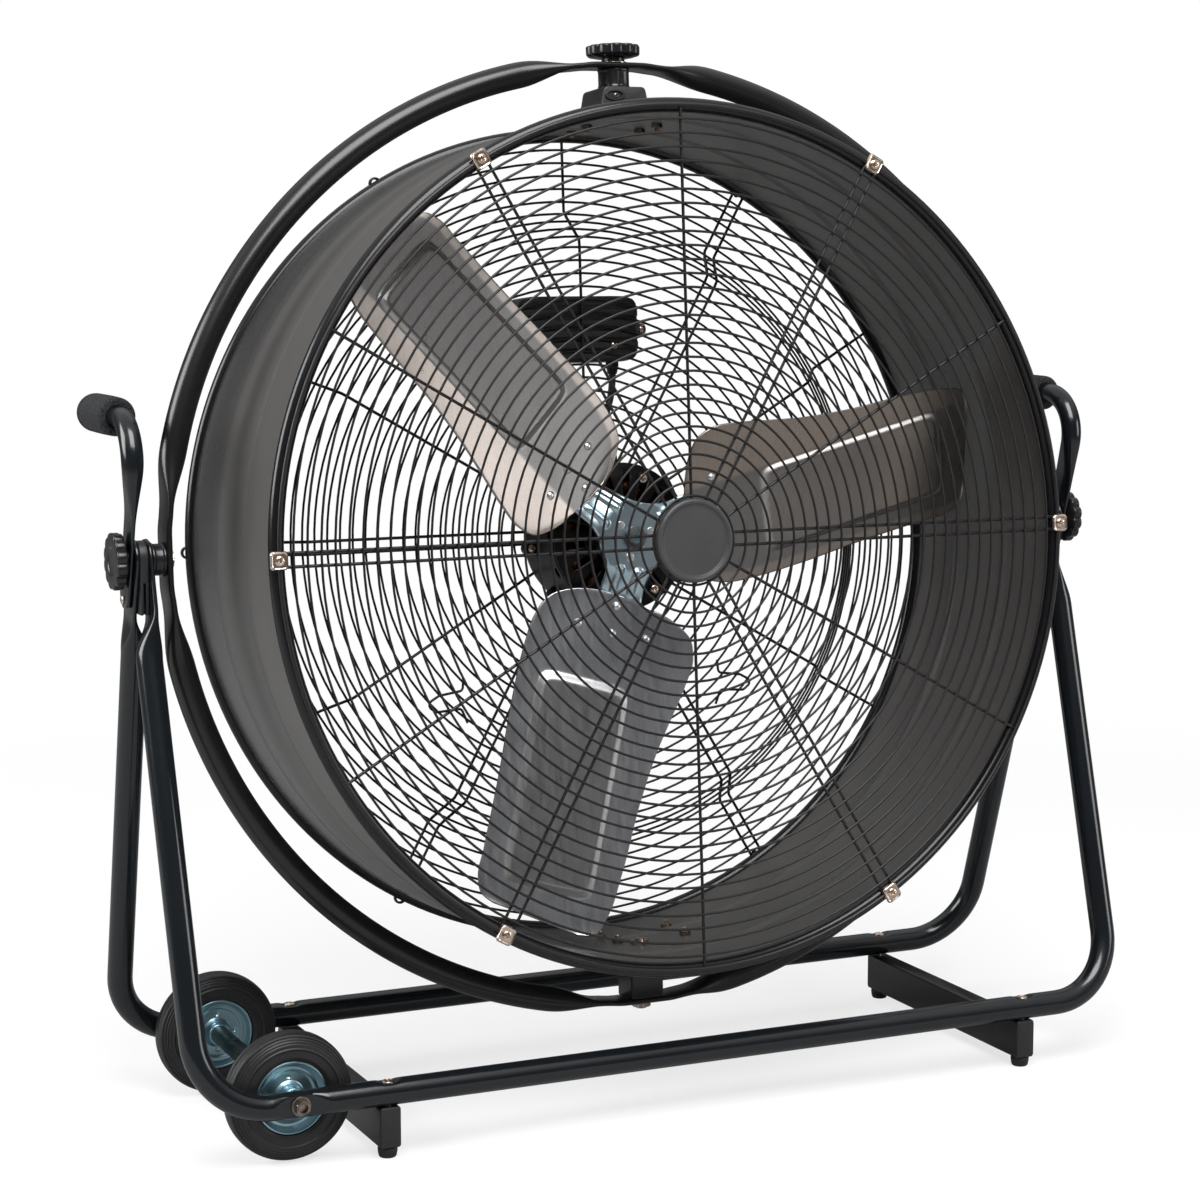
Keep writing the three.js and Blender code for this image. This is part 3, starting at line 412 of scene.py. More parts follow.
# %% A finish: a paint, a metal or a plastic
class Finish(Tree):
    """A Principled material, and the record slot it belongs to."""

    def __init__(self, name, slot, colour, roughness, **constants):
        self.material = bpy.data.materials.new(name)
        super().__init__(self.material)
        self.slot = slot
        self.shader = self.nodes["Principled BSDF"]
        self.set({"Base Color": (*colour, 1), "Roughness": roughness})
        self.set({key.replace("_", " "): value for key, value in constants.items()})

    def set(self, inputs):
        for key, value in inputs.items():
            self.connect(self.shader.inputs[key], value)

    def noise(self, scale, detail=3.0, stretch=(1, 1, 1)):
        """Noise in Object coordinates, which can be stretched along an axis for grain that runs one way."""
        inputs = {"Vector": self.where(stretch), "Scale": scale, "Detail": detail}
        return self.node("ShaderNodeTexNoise", {}, inputs, "Fac")

    def where(self, stretch=(1, 1, 1)):
        place = self.node("ShaderNodeTexCoord", output="Object")
        return self.node("ShaderNodeMapping", {}, {"Vector": place, "Scale": stretch})

    def tone(self, title):
        """A number that the piece's own mesh carries at each point."""
        return self.node("ShaderNodeAttribute", {"attribute_name": title}, output="Fac")

    def mix(self, share, first, second, blend="MIX"):
        """A colour between two colours. Sockets 6 and 7 are a Mix node's colours, and output 2 their mix."""
        first, second = (c if isinstance(c, Value) else (*c, 1) for c in (first, second))
        settings = {"data_type": "RGBA", "blend_type": blend}
        return self.node("ShaderNodeMix", settings, {0: share, 6: first, 7: second}, 2)

    def relief(self, height, depth):
        """Small shape in the surface, depth metres from its low to its high places."""
        self.set({"Normal": self.node("ShaderNodeBump", {}, {"Height": height, "Distance": depth})})

    def peel(self, scale, depth):
        """The orange peel of powder that flowed as it melted."""
        self.relief(self.noise(scale, 2) + 0.4 * self.noise(3.3 * scale, 1), depth)


def grey(level):
    """A colour without a hue."""
    return (level, level, level)


# %% [markdown]
# ## Paints
# The stand and the handles have a wet-looking powder coat, the ring, wires and drum a duller one. Powder
# flows as it melts and leaves a faint orange peel a few millimetres wide, and its gloss drifts a little over
# hand-sized patches. The drum's beads, and the rear of its skin, are glossier than the rest of the skin and
# are painted darker, as painted shade for the dark room they reflect. Its mesh carries a tone for both.


# %% Powder coats
def paint(name, slot, dark, light, roughness, scale, depth, shine):
    """A powder coat between two near-black colours, with its orange peel."""
    made = Finish(name, slot, dark, roughness, Specular_IOR_Level=shine)
    drift = made.noise(7, 2)
    made.set({"Base Color": made.mix(drift, dark, light), "Roughness": roughness - 0.05 + 0.1 * drift})
    made.peel(scale, depth)
    return made


gloss = paint("gloss_black_paint", "stand_paint", (0.003, 0.004, 0.005), (0.006, 0.008, 0.010), 0.17, 420,
              0.00003, 0.5)
satin = paint("satin_black_paint", "satin_paint", grey(0.004), grey(0.008), 0.26, 700, 0.00002, 0.45)
wire = paint("black_wire_paint", "guard_wire", (0.006, 0.005, 0.005), (0.013, 0.011, 0.011), 0.34, 900,
             0.00003, 0.35)

CHARCOAL = (0.062, 0.060, 0.058)
skin = Finish("charcoal_drum_paint", "drum_paint", CHARCOAL, 0.4, Specular_IOR_Level=0.35)
# Painted shade: where this tone is 1 the skin is nearly black, standing in for the dark room that the beads
# and the rear of the skin reflect.
bead = skin.tone("bead")
skin.set({"Base Color": skin.mix(bead, CHARCOAL, (0.005, 0.005, 0.006))})
skin.set({"Roughness": 0.36 + 0.06 * skin.noise(7, 2) - 0.2 * bead})
skin.peel(900, 0.00002)
print("paints:", [f.material.name for f in (gloss, satin, skin, wire)])


# %% [markdown]
# ## Plastic, foam and rubber
# The brackets and the box are moulded with a fine spark-eroded grain, and the knobs are smoother. The grips
# are foam with open cells, the tyres are dull rubber. Grain and cells are patterns at different scales.


# %% Plastic, foam and rubber
def soft_finish(name, slot, dark, light, roughness, grain, depth, patches=30, shine=0.4):
    """A dull material: its colour drifts over patches and its grain is relief."""
    made = Finish(name, slot, dark, roughness, Specular_IOR_Level=shine)
    drift = made.noise(patches, 3)
    made.set({"Base Color": made.mix(drift, dark, light), "Roughness": roughness - 0.06 + 0.12 * drift})
    made.relief(made.noise(grain, 4), depth)
    return made


plastic = soft_finish("moulded_black_plastic", "black_plastic", (0.009, 0.009, 0.010), (0.017, 0.017, 0.018),
                      0.42, 2600, 0.0001)
polished = soft_finish("polished_black_plastic", "black_plastic", (0.006, 0.006, 0.007),
                       (0.011, 0.011, 0.012), 0.24, 900, 0.00003)
matt = soft_finish("matt_black_plastic", "black_plastic", (0.030, 0.030, 0.031), (0.042, 0.042, 0.044), 0.4,
                   2600, 0.0001)
motor_black = soft_finish("motor_black", "satin_paint", grey(0.002), grey(0.004), 0.34, 900, 0.00003,
                          shine=0.14)
rubber = soft_finish("black_rubber", "rubber", grey(0.006), grey(0.010), 0.5, 1500, 0.0001)
tyre_rubber = soft_finish("tyre_rubber", "tyre", (0.007, 0.007, 0.008), (0.013, 0.013, 0.014), 0.46, 900,
                          0.00012, 60)

foam = Finish("grip_foam", "foam", (0.012, 0.013, 0.014), 0.9, Specular_IOR_Level=0.25)
cells = foam.node("ShaderNodeTexVoronoi", {}, {"Vector": foam.where(), "Scale": 620})
foam.set({"Base Color": foam.mix(cells.above(0.45, 0.3), (0.005, 0.005, 0.006), (0.024, 0.025, 0.027))})
foam.relief(1 - cells, 0.0007)
print("soft finishes:", [f.material.name for f in (plastic, rubber, tyre_rubber, foam)])

# %% [markdown]
# ## Bare and plated metals
# The wheel discs and the blade spider are zinc plated with a blue tint that clouds. The guard clips are
# nickel, a little warm, and the side bolts are brown steel. The blades are mill aluminium with fine streaks
# along the rolling direction, and each of the three carries a painted reflection of the room in another
# colour.


# %% Plated steel
def metal(name, slot, dark, light, roughness, clouds, spread=0.14, depth=0.00003):
    """A metal whose colour clouds between two values and whose gloss follows the clouds."""
    made = Finish(name, slot, light, roughness, Metallic=1.0)
    cloud = made.noise(clouds, 5)
    made.set({"Base Color": made.mix(cloud.above(0.5, 0.22), dark, light)})
    made.set({"Roughness": roughness - spread / 2 + spread * cloud})
    made.relief(made.noise(12 * clouds, 3), depth)
    return made


zinc = metal("blue_zinc_plate", "zinc", (0.23, 0.36, 0.42), (0.40, 0.58, 0.64), 0.3, 18, 0.1, 0.00001)
spider_zinc = metal("grey_zinc_plate", "zinc", (0.46, 0.60, 0.68), (0.60, 0.73, 0.80), 0.3, 9, 0.08, 0.000003)
nickel = metal("bright_nickel_plate", "nickel", (0.48, 0.38, 0.31), (0.80, 0.67, 0.57), 0.22, 140)
bronze_steel = metal("brown_bolt_steel", "nickel", (0.10, 0.08, 0.07), (0.34, 0.28, 0.24), 0.32, 160)
rivet_steel = metal("bright_rivet_metal", "aluminium", (0.70, 0.70, 0.71), (0.90, 0.90, 0.91), 0.34, 60,
                    0.08, 0.000003)
brass = metal("brass_thread", "copper", (0.34, 0.22, 0.13), (0.62, 0.44, 0.30), 0.35, 300)
copper = metal("copper_wire", "copper", (0.05, 0.018, 0.008), (0.34, 0.12, 0.045), 0.4, 160)
lamination = metal("core_steel", "zinc", (0.10, 0.10, 0.11), (0.22, 0.22, 0.23), 0.45, 90)
axle_steel = metal("dark_axle_steel", "zinc", (0.030, 0.050, 0.048), (0.080, 0.105, 0.100), 0.3, 40)


# %% Mill aluminium, one tint for each blade
def aluminium(name, panel_painted_reflection, cool, warm_painted_reflection):
    """Rolled sheet with fine streaks and specks. Painted reflections make its panel darker than its rim and
    the side of the rim that leans to the light warmer, and a painted highlight makes the pressed slopes
    bright; those slopes are also rougher."""
    made = Finish(name, "aluminium", cool, 0.4, Metallic=1.0)
    streaks, specks = made.noise(260, 4, (1.0, 0.3, 0.14)), made.noise(900, 3)
    # Painted reflections and a painted highlight: the rim, panel and warmer colours stand in for the room the
    # blade reflects, and the pressed tone paints the slopes bright.
    rim = made.mix(made.tone("warm_painted_reflection"), cool, warm_painted_reflection)
    sheet = made.mix(made.tone("pressed"), made.mix(made.tone("panel"), rim, panel_painted_reflection), (0.92, 0.89, 0.86))
    worn = made.mix((0.4 * streaks + 0.6 * specks).above(0.5, 0.3), grey(0.86), grey(1.14))
    made.set({"Base Color": made.mix(1.0, sheet, worn, "MULTIPLY")})
    made.set({"Roughness": 0.2 + 0.16 * streaks + 0.06 * specks + 0.3 * made.tone("pressed")})
    made.relief(specks, 0.00001)
    return made


# Each blade's colours are painted reflections of the room, one set per blade.
blade_painted_reflections = [
    aluminium("blade_sheet_painted_brown_reflection", (0.26, 0.24, 0.225), (0.23, 0.22, 0.215), (0.38, 0.325, 0.28)),
    aluminium("blade_sheet_painted_pale_reflection", (0.145, 0.141, 0.139), (0.19, 0.186, 0.182), (0.50, 0.445, 0.41)),
    aluminium("blade_sheet_painted_cool_reflection", (0.37, 0.368, 0.374), (0.49, 0.498, 0.52), (0.45, 0.455, 0.48)),
]
print("metals:", [f.material.name for f in (zinc, nickel, copper, *blade_painted_reflections)])

# %% [markdown]
# ## The stand
# Each frame is one bent tube of 24 mm. Its two ends are pressed flat where the pivot bolt passes, and it is
# pressed again where the axle goes through. A pressed tube is a circle pulled apart into a strip, so one
# section formula covers the tube, the strip and the change between them.


# %% Sizes of the stand
def flat_x(node):
    """The middle of a leg's pressed end, from its packed corners above the pivot."""
    points = node_points(node)
    return np.abs(points[points[:, 2] > PIVOT + 15, 0]).mean()


TUBE, STRIP_HALF, PRESS_WIDEN = 12.0, 2.0, 1.42
FLAT_FROM = PIVOT - 48
ROUND_TO = FLAT_FROM - 36
BAR_Y = node_middle("frame_bolt_rear_left")[1]
BAR_Z = node_span("front_frame")[0][2] + TUBE
LEG_SLOPE = BAR_Y / (PIVOT - BAR_Z)
LEG_BEND, CORNER_BEND = 60, 66
AXLE_FLAT, BOLT_DENT = 4.5, 3.0
FRONT_FLAT, REAR_FLAT = flat_x("front_frame"), flat_x("rear_frame")
CORNER_X = FRONT_FLAT + 0.5
AXLE = np.array([node_middle("axle_bolt")[0], 0, BAR_Z])
CROSS_X = [node_middle(f"cross_bar_{side}")[0] for side in ("left", "right")]
print("legs are flat at", round(FRONT_FLAT, 1), "and", round(REAR_FLAT, 1), "mm from the middle")


# %% The two frames
def leg_y(height):
    """How far a leg stands from the middle at a height; it is nothing at the pivot."""
    return (PIVOT - height) * LEG_SLOPE


def frame_path(side, flat):
    """Down one leg, along the bottom bar and up the other leg."""
    half = [(flat, PIVOT + 18), (flat, FLAT_FROM), (CORNER_X + 6, ROUND_TO), (CORNER_X, BAR_Z)]
    right = np.array([(x, side * leg_y(z), z) for x, z in half])
    left = (right * (-1, 1, 1))[::-1]
    bends = [LEG_BEND, LEG_BEND, CORNER_BEND]
    return even(bent(np.vstack([right, left]), bends + bends[::-1]), 4)


def frame_tube(side, flat):
    """The tube, pressed by how far up the leg it is, rounded at both ends and dented at its bolts."""
    path, at = frame_path(side, flat)
    pressed = ease((path[:, 2] - ROUND_TO) / (FLAT_FROM - ROUND_TO))
    wide = TUBE * (1 + (PRESS_WIDEN - 1) * pressed)
    deep = TUBE + (STRIP_HALF - TUBE) * pressed
    from_end = np.clip(np.minimum(at, at[-1] - at) / wide, 0.02, 1)
    wide = wide * np.sqrt(1 - (1 - from_end) ** 2)
    normal = unit(np.array([0, side * (BAR_Z - PIVOT), -BAR_Y]))
    points, faces = sweep(path, normal, wide, deep, 32)
    x, y, z = points.T
    face = BAR_Y + TUBE - AXLE_FLAT * (1 - ease((np.abs(x - AXLE[0]) - 12) / 16))
    low = z < BAR_Z + 2 * TUBE
    y = np.where(low, side * np.minimum(side * y, face), y)
    for cross in CROSS_X:
        reach = np.hypot(x - cross, y - side * BAR_Y)
        dent = BAR_Z + TUBE - BOLT_DENT * (1 - ease((reach - 6) / 7))
        z = np.where(low & (reach < 13), np.minimum(z, dent), z)
    return np.stack([x, y, z], 1), faces


make("front_tube_frame", "stand", gloss, frame_tube(-1, FRONT_FLAT), replaces=["front_frame"], sharp=50)
make("rear_tube_frame", "stand", gloss, frame_tube(1, REAR_FLAT), replaces=["rear_frame"], sharp=50)

# %% [markdown]
# ## Cross bars, feet and bolts
# Two lengths of rectangular tube join the frames. A plastic plug closes each end, a rubber glide stands
# under it, and a cross-head bolt comes down through the round tube, in a dent that hides its head.

# %% Cross bars with their plugs, glides and bolts
GLIDE_R, PLUG = 9.0, 3.0
glide = [(0, 0), (GLIDE_R - 1.8, 0), (GLIDE_R - 0.8, 1.6), (GLIDE_R, 6), (GLIDE_R, 9.4), (0, 9.4)]
for side in ("left", "right"):
    low, high = node_span(f"cross_bar_{side}")
    (x, _, z), (wide, _, tall) = (low + high) / 2, high - low
    bar = plate(rectangle(wide, tall, 3.2, (x, z)), low[1] + 1.6, high[1] - 1.6, 0.5, 1)
    make(f"cross_tube_{side}", "stand", satin, bar, replaces=[f"cross_bar_{side}"])
    plug = rectangle(wide - 0.8, tall - 0.8, 3, (x, z))
    ends = [plate(plug, start, start + PLUG, 1.2, 1) for start in (low[1], high[1] - PLUG)]
    make(f"bar_plugs_{side}", "stand", plastic, *ends)
    for end in ("front", "rear"):
        x, y, _ = node_middle(f"foot_{end}_{side}")
        foot = moved(lathe(eased(glide, 0.8), 2), (x, y, 0))
        make(f"glide_{end}_{side}", "stand", rubber, foot, replaces=[f"foot_{end}_{side}"])
        low, high = node_span(f"frame_bolt_{end}_{side}")
        x, y, _ = (low + high) / 2
        seat = high[2] - 3.4
        shank = rod(3, low[2], seat + 0.5, 2, 24)
        bolt = [moved(cross_head(5.6, 3.2), (x, y, seat)), moved(shank, (x, y, 0))]
        make(f"cross_bolt_{end}_{side}", "stand", nickel, *bolt, replaces=[f"frame_bolt_{end}_{side}"])
print("two cross bars on four glides")

# %% [markdown]
# ## Wheels
# A solid rubber tyre sits on a disc pressed from zinc plated sheet. Both are turned shapes, so each is one
# profile: the tyre's side carries a ridge and three fine grooves and its tread two, and the disc falls in a
# cone to a flat plate with four dimples round a raised hub.

# %% Sizes of the wheels
WHEEL, TYRE_HALF, DISC, HUB_BORE = 58.5, 13.5, 33.7, 6.4
WHEEL_MIDDLE = node_middle("tyre_rear")[1]
HUB_IN, HUB_OUT = [corner[1] for corner in node_span("wheel_disc_rear")]
print("a wheel's middle is", round(WHEEL_MIDDLE, 1), "mm from the middle of the fan")


# %% A wheel, drawn for the rear and turned for the front
def tyre_profile():
    """Half width against radius: flat, then falling to the tread, plus a ridge and three grooves."""
    radius = np.linspace(DISC + 0.3, WHEEL - 1.7, 70)
    side = TYRE_HALF - 1.6 * ease((DISC + 4 - radius) / 4) - 4.4 * ease((radius - 46) / 14) ** 1.2
    side += 0.9 * bump((radius - 45) / 1.6)
    side -= sum(0.7 * bump((radius - groove) / 0.8) for groove in (50, 52.4, 54.8))
    across = np.linspace(side[-1], -side[-1], 40)
    tread = WHEEL - 1.7 * np.abs(across / side[-1]) ** 3 - 0.9 * bump((np.abs(across) - 4) / 0.9)
    outline = np.vstack([np.stack([radius, side], 1), np.stack([tread, across], 1),
                         np.stack([radius, -side], 1)[::-1]])
    return np.vstack([outline, outline[:1]])


def disc():
    """Lip, cone, bead, plate and hub of one face, then the same of the other face. The plate moves towards
    the middle near four places round the hub."""
    face = [(DISC, 9.4), (DISC - 0.4, 11.4), (DISC - 2.2, 11.4), (DISC - 3.2, 9.4), (27.5, 5.2), (25.6, 5.6),
            (24.2, 5.2), (22.4, 3.6), (21, 3.5), (20, 3.5), *[(r, 3.4) for r in (19, 18, 17, 16, 15)],
            (14, 3.6), (11.4, 6.4), (10.4, 9)]
    outer, inner = (face + [(10.6, end - 1), (9.6, end), (HUB_BORE, end)]
                    for end in (HUB_OUT - WHEEL_MIDDLE, WHEEL_MIDDLE - HUB_IN))
    profile = closed_profile(outer + [(r, -h) for r, h in reversed(inner)], 0.9)
    points, faces = lathe(profile, 1, 120)
    radius, angle = np.hypot(points[:, 0], points[:, 2]), np.arctan2(points[:, 2], points[:, 0])
    beside = radius * np.abs((angle + np.pi / 4) % (np.pi / 2) - np.pi / 4)
    dent = bump(np.hypot(radius - 17.5, beside) / 2.8)
    points[:, 1] -= np.sign(points[:, 1]) * 1.5 * dent * (radius > 12) * (radius < 22)
    return points, faces


for end, turn in (("rear", 0), ("front", 180)):
    parts = [("rubber_tyre", "tyre", tyre_rubber, lathe(tyre_profile(), 1, 96)),
             ("pressed_disc", "wheel_disc", zinc, disc())]
    for name, node, finish, patch in parts:
        patch = moved(rotated(moved(patch, (0, WHEEL_MIDDLE, 0)), 2, turn), AXLE)
        make(f"{name}_{end}", f"wheel_{end}", finish, patch, replaces=[f"{node}_{end}"], sharp=60)

# %% The axle
NUT_SEAT = BAR_Y + TUBE - AXLE_FLAT + 0.1
nuts = [moved(rotated(part, 0, -90 * side), AXLE) for side in (-1, 1)
        for part in (moved(hex_nut(12.6, 6.4, 4.2), (0, 0, NUT_SEAT + 1.4)),
                     washer(9, 5, NUT_SEAT, NUT_SEAT + 1.3))]
make("axle_rod_and_nuts", "stand", bronze_steel, moved(rod(4.3, -NUT_SEAT - 4, NUT_SEAT + 4, 1), AXLE), *nuts,
     replaces=["axle_bolt"])
spacer = washer(9, 6.2, 0.3 - HUB_IN, HUB_IN - 0.3, 1, edge=0.5)
make("axle_spacer_tube", "stand", axle_steel, moved(spacer, AXLE), replaces=["axle_tube"])
print("axle and two wheels")

# %% [markdown]
# ## Side pivots
# On each side one bolt goes through the ring, a spacer, the front leg, a plastic saddle, the rear leg and
# the handle's tab, and a knob with twelve lobes clamps the stack. The places along the bolt come from the
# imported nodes, so each smooth part fits the gap its faceted one left.


# %% Knobs
def knob(neck):
    """A clamping knob about Z. The radius is a profile in height, less twelve sharp valleys between lobes,
    2.6 (1 - |sin 6a| ^ 0.7), which fade towards the neck."""
    top = neck + 12
    rows = eased([(0, 0), (11, 0), (11, neck), (16, neck + 0.5), (23.4, neck + 2), (25.4, neck + 3.4),
                  (25.6, top - 1.2), (24.6, top), (13, top), (11.6, top - 1.2), (0, top - 1.2)], 0.7)
    radius, height = rows[:, :1], rows[:, 1:]
    angle = turns(144)
    lobes = 2.6 * (np.abs(np.sin(6 * angle)) ** 0.7 - 1) + 0.4
    return grid(polar(radius + lobes * ease((radius - 18) / 5), angle, height), around=True)


# %% The saddle, the spacer and the bolt
def saddle_parts(low, high):
    """A block with a round top, and two cheeks below it with a slot between them."""
    width, drop, head, slot = 15.0, 47.0, 18.0, 19.0
    t = np.linspace(0, np.pi, 17)
    dome = [(width * np.cos(a), head - width + width * np.sin(a)) for a in t]
    block = np.array([(-width, -slot), (width, -slot)] + dome) + (0, PIVOT)
    cheek = rectangle(2 * width, drop - slot + 2, 2.5, (0, PIVOT - (drop + slot) / 2))
    third = (high - low) * 0.37
    cheeks = [plate(cheek, start, start + third, 0.8, 0) for start in (low, high - third)]
    return [plate(block, low, high, 1, 0), *cheeks]


def bush_profile(low, high, bore, flange, neck, lip):
    """A bush with a thin flange at each end and a slope of 0.8 or 1 mm down to its neck."""
    rows = [(bore, low), (flange, low), (flange, low + 2), (neck, low + lip)]
    return rows + [(neck, high - lip), (flange, high - 2), (flange, high), (bore, high)]


def bolt_parts(low, high):
    """A bolt about X: a hexagon head and a washer inside the ring, then its shank."""
    head = moved(along_x(hex_nut(16, 2.6, 0.01)), (low + 1, 0, 0))
    shank = lathe([(0, low + 2), (6, low + 2), (6, high - 1), (5, high), (0, high)], 0, 32)
    return [moved(part, AT_PIVOT) for part in (head, rod(10.5, low + 3, low + 4, 0, 48), shank)]


# %% The handle with its pressed tab, and its foam grip
TAB_DROP, TAB_HALF, TAB_WIDE, HANDLE = 43, 1.8, 14.2, 10.0
GRIP_LOW, GRIP_HIGH = node_span("grip_right")
GRIP_Z = (GRIP_LOW[2] + GRIP_HIGH[2]) / 2


def handle_parts(flat):
    """A tube that starts as a strip beside the pivot and turns back into a level grip, and the strip's screw.
    It is thin across X below the press and round above it."""
    foot = PIVOT - TAB_DROP
    route = [(flat, leg_y(foot), foot), (flat, leg_y(GRIP_Z), GRIP_Z), (flat, GRIP_HIGH[1] - 9, GRIP_Z)]
    path, at = even(bent(route, 40, 24), 3)
    round_share = ease((path[:, 2] - PIVOT - 34) / 60)
    across = TAB_HALF + (HANDLE - TAB_HALF) * round_share
    beside = TAB_WIDE + (HANDLE - TAB_WIDE) * round_share
    beside = beside * np.sqrt(1 - (1 - np.clip(at / TAB_WIDE, 0.03, 1)) ** 2)
    screw_z = PIVOT - 36
    screw = moved(along_x(cross_head(4.2, 2.6)), (flat + TAB_HALF, leg_y(screw_z), screw_z))
    return sweep(path, (1, 0, 0), across, beside, 28), screw


def grip_profile():
    """A foam sleeve: eased ends, a step near the far end and a closed, rounded tip."""
    start, end = GRIP_LOW[1], GRIP_HIGH[1]
    middle = np.linspace(start + 5, end - 16, 24)
    belly = 17.6 + 0.4 * np.sin(np.pi * (middle - start) / (end - start))
    rows = [(10.2, start + 1), (10.2, start), (15.4, start), (17.4, start + 2.4), *zip(belly, middle)]
    tip = [(17.6, 14), (15.6, 12), (17.9, 9.8), (17.6, 5), (14.5, 1), (8, 0), (0, 0)]
    return eased(rows + [(radius, end - left) for radius, left in tip], 1.2)


for name, side in (("left", -1), ("right", 1)):
    reach = {node: sorted(abs(corner[0]) for corner in node_span(f"{node}_{name}"))
             for node in ("side_spacer", "saddle", "pivot_bolt", "knob")}
    tab = np.abs(node_points(f"handle_{name}") - (0, 0, PIVOT - TAB_DROP))
    tab_x = tab[tab[:, 2] < 3, 0].mean()
    tube, screw = handle_parts(tab_x)
    bush = closed_profile(bush_profile(*reach["side_spacer"], 6.4, 15.5, 14.4, 2.8), 0.6)
    sleeve = lathe(grip_profile(), 1, 56)
    clamp = moved(along_x(knob(2)), (reach["knob"][0], 0, PIVOT))
    pieces = [("flanged_spacer", "side_spacer", polished, [moved(lathe(bush, 0, 64), AT_PIVOT)], 34),
              ("leg_saddle", "saddle", plastic, saddle_parts(*reach["saddle"]), 34),
              ("side_bolt", "pivot_bolt", bronze_steel, bolt_parts(*reach["pivot_bolt"]), 34),
              ("push_handle", "handle", gloss, [tube], 50),
              ("handle_screw", None, nickel, [screw], 34),
              ("foam_grip", "grip", foam, [moved(sleeve, (tab_x, 0, GRIP_Z))], 34),
              ("tilt_knob", "knob", polished, [clamp], 34)]
    for title, node, finish, patches, sharp in pieces:
        body = f"tilt_knob_{name}" if node == "knob" else "stand"
        patches = [mirrored(patch, side) for patch in patches]
        piece = make(f"{title}_{name}", body, finish, *patches, replaces=[f"{node}_{name}"] if node else (),
                     sharp=sharp)
        node == "grip"
print("two side pivots with their knobs and handles")

# %% [markdown]
# ## The orbit ring
# The ring is a tube rolled into a hoop a little wider than high. It is pressed flat at the four pivots,
# where a strip passes the bolt. An ellipse gives the hoop. Near a pivot the points slide to a level seat, and
# over a longer way the section is pressed, both by a smooth step of the distance from the pivot.

# %% Sizes of the ring
RING_TUBE, RING_STRIP = 12.3, 2.5
RING_W = abs(node_span("side_spacer_right")[0][0]) - 0.3 - RING_STRIP
RING_H = RING_W - 7.5
FLAT_REACH, PRESS, SEAT = 46.0, 56.0, 20.0
print("the ring is", round(2 * RING_W), "by", round(2 * RING_H), "mm between the middles of its strips")


# %% Orbit ring
def ring_tube(count=560):
    """An ellipse in X and Z, level for a little way at its four seats. Towards each seat the round section
    turns into a strip."""
    turn = turns(count) + np.pi / count
    x, z = RING_W * np.cos(turn), RING_H * np.sin(turn)
    beside = np.abs(np.cos(turn)) > np.abs(np.sin(turn))
    off = np.where(beside, np.abs(z), np.abs(x))
    seat = ease((2 * SEAT - off) / SEAT)
    x = np.where(beside, x + seat * (np.sign(x) * RING_W - x), x)
    z = np.where(beside, z, z + seat * (np.sign(z) * RING_H - z))
    pressed = ease((FLAT_REACH + PRESS - off) / PRESS) ** 1.3
    wide = RING_TUBE * (1 + (PRESS_WIDEN - 1) * pressed)
    deep = RING_TUBE + (RING_STRIP - RING_TUBE) * pressed
    return sweep(np.stack([x, 0 * x, z], 1), (0, 1, 0), wide, deep, 32, loop=True)


make("rolled_orbit_ring", "ring", satin, ring_tube(), replaces=["orbit_ring"], sharp=50)

# %% [markdown]
# ## The drum
# The drum is one strip of sheet, rolled and welded, with a bead curled over at each rim and two shallow
# swages that keep it round. All of that is one profile carried round the axis: out along the skin, round
# each bead, and back along the inside.

# %% Sizes of the drum
DRUM_R, SHEET, BEAD = 398.0, 1.6, 7.0
DRUM_LOW, DRUM_HIGH = drum_ends("drum_shell")
SWAGES = (-49.0, 42.0)
SWAGE_OUT, SWAGE_IN = 0.8, 2.2
print("the drum is", round(DRUM_HIGH - DRUM_LOW), "mm deep")


# %% Drum skin with its beads and swages
def bead_arc(middle, way):
    """Most of a circle round a bead's middle, from the outside of the skin over the rim to its inside."""
    turn = np.linspace(np.radians(8), np.radians(352), 34)
    return np.stack([DRUM_R - SHEET / 2 + BEAD * np.sin(turn), middle + way * BEAD * np.cos(turn)], 1)


def skin_line(radius, start, end, deep):
    """A straight run along the drum that dips at each swage."""
    y = np.linspace(start, end, 150)
    return np.stack([radius - sum(deep * bump((y - swage) / 9) for swage in SWAGES), y], 1)


def drum_profile():
    """Outside from front to back, back bead, inside from back to front, front bead."""
    front, back = DRUM_LOW + BEAD, DRUM_HIGH - BEAD
    outside = skin_line(DRUM_R, front + BEAD, back - BEAD, SWAGE_OUT)
    inside = skin_line(DRUM_R - SHEET, back - BEAD, front + BEAD, SWAGE_IN)
    outline = np.vstack([outside, bead_arc(back, -1), inside, bead_arc(front, 1)[::-1]])
    return np.vstack([outline, outline[:1]])


def drum_painted_shade(points):
    """Painted shade: 1 on both beads, and up to 0.6 on the outside towards the rear."""
    from_middle = np.abs(points[:, 1] - (DRUM_HIGH + DRUM_LOW) / 2)
    beads = ease((from_middle - (DRUM_HIGH - DRUM_LOW) / 2 + 2 * BEAD + 1) / 1.5)
    outside = np.hypot(points[:, 0], points[:, 2]) > DRUM_R - SHEET / 2
    return np.maximum(beads, 0.6 * outside * ease((points[:, 1] - 10) / 55))


drum = lathe(drum_profile(), 1, 200)
make("rolled_drum", "drum", skin, drum, replaces=["drum_shell"], sharp=60, tones={"bead": drum_painted_shade(drum[0])})

# %% [markdown]
# ## The wire guards
# A guard is a set of wire rings welded to six pairs of spokes and six single ones. The rings lie outside,
# and the spokes behind them. Each wire is a thin tube with eight sides, because there are some sixty rings.
# The rear guard steps in like a dish, so its spokes follow the same height formula as its rings.

# %% Sizes of the guards
GUARD_RIM, CAP = DRUM_R - 1, 39.0
WIRE, RIM_WIRE, SPOKE, PAIR = 1.2, 2.1, 1.5, 6.0
GUARD_RINGS = 29
DISH_OUT, DISH_IN, DISH = GUARD_RIM - 75, GUARD_RIM - 105, 36.0
FRONT_WIRE, REAR_WIRE = DRUM_LOW - 1.9, DRUM_HIGH + 1.9
BEHIND = 2.6
WIRE_STEP = (GUARD_RIM - CAP - 2) / (GUARD_RINGS - 1)


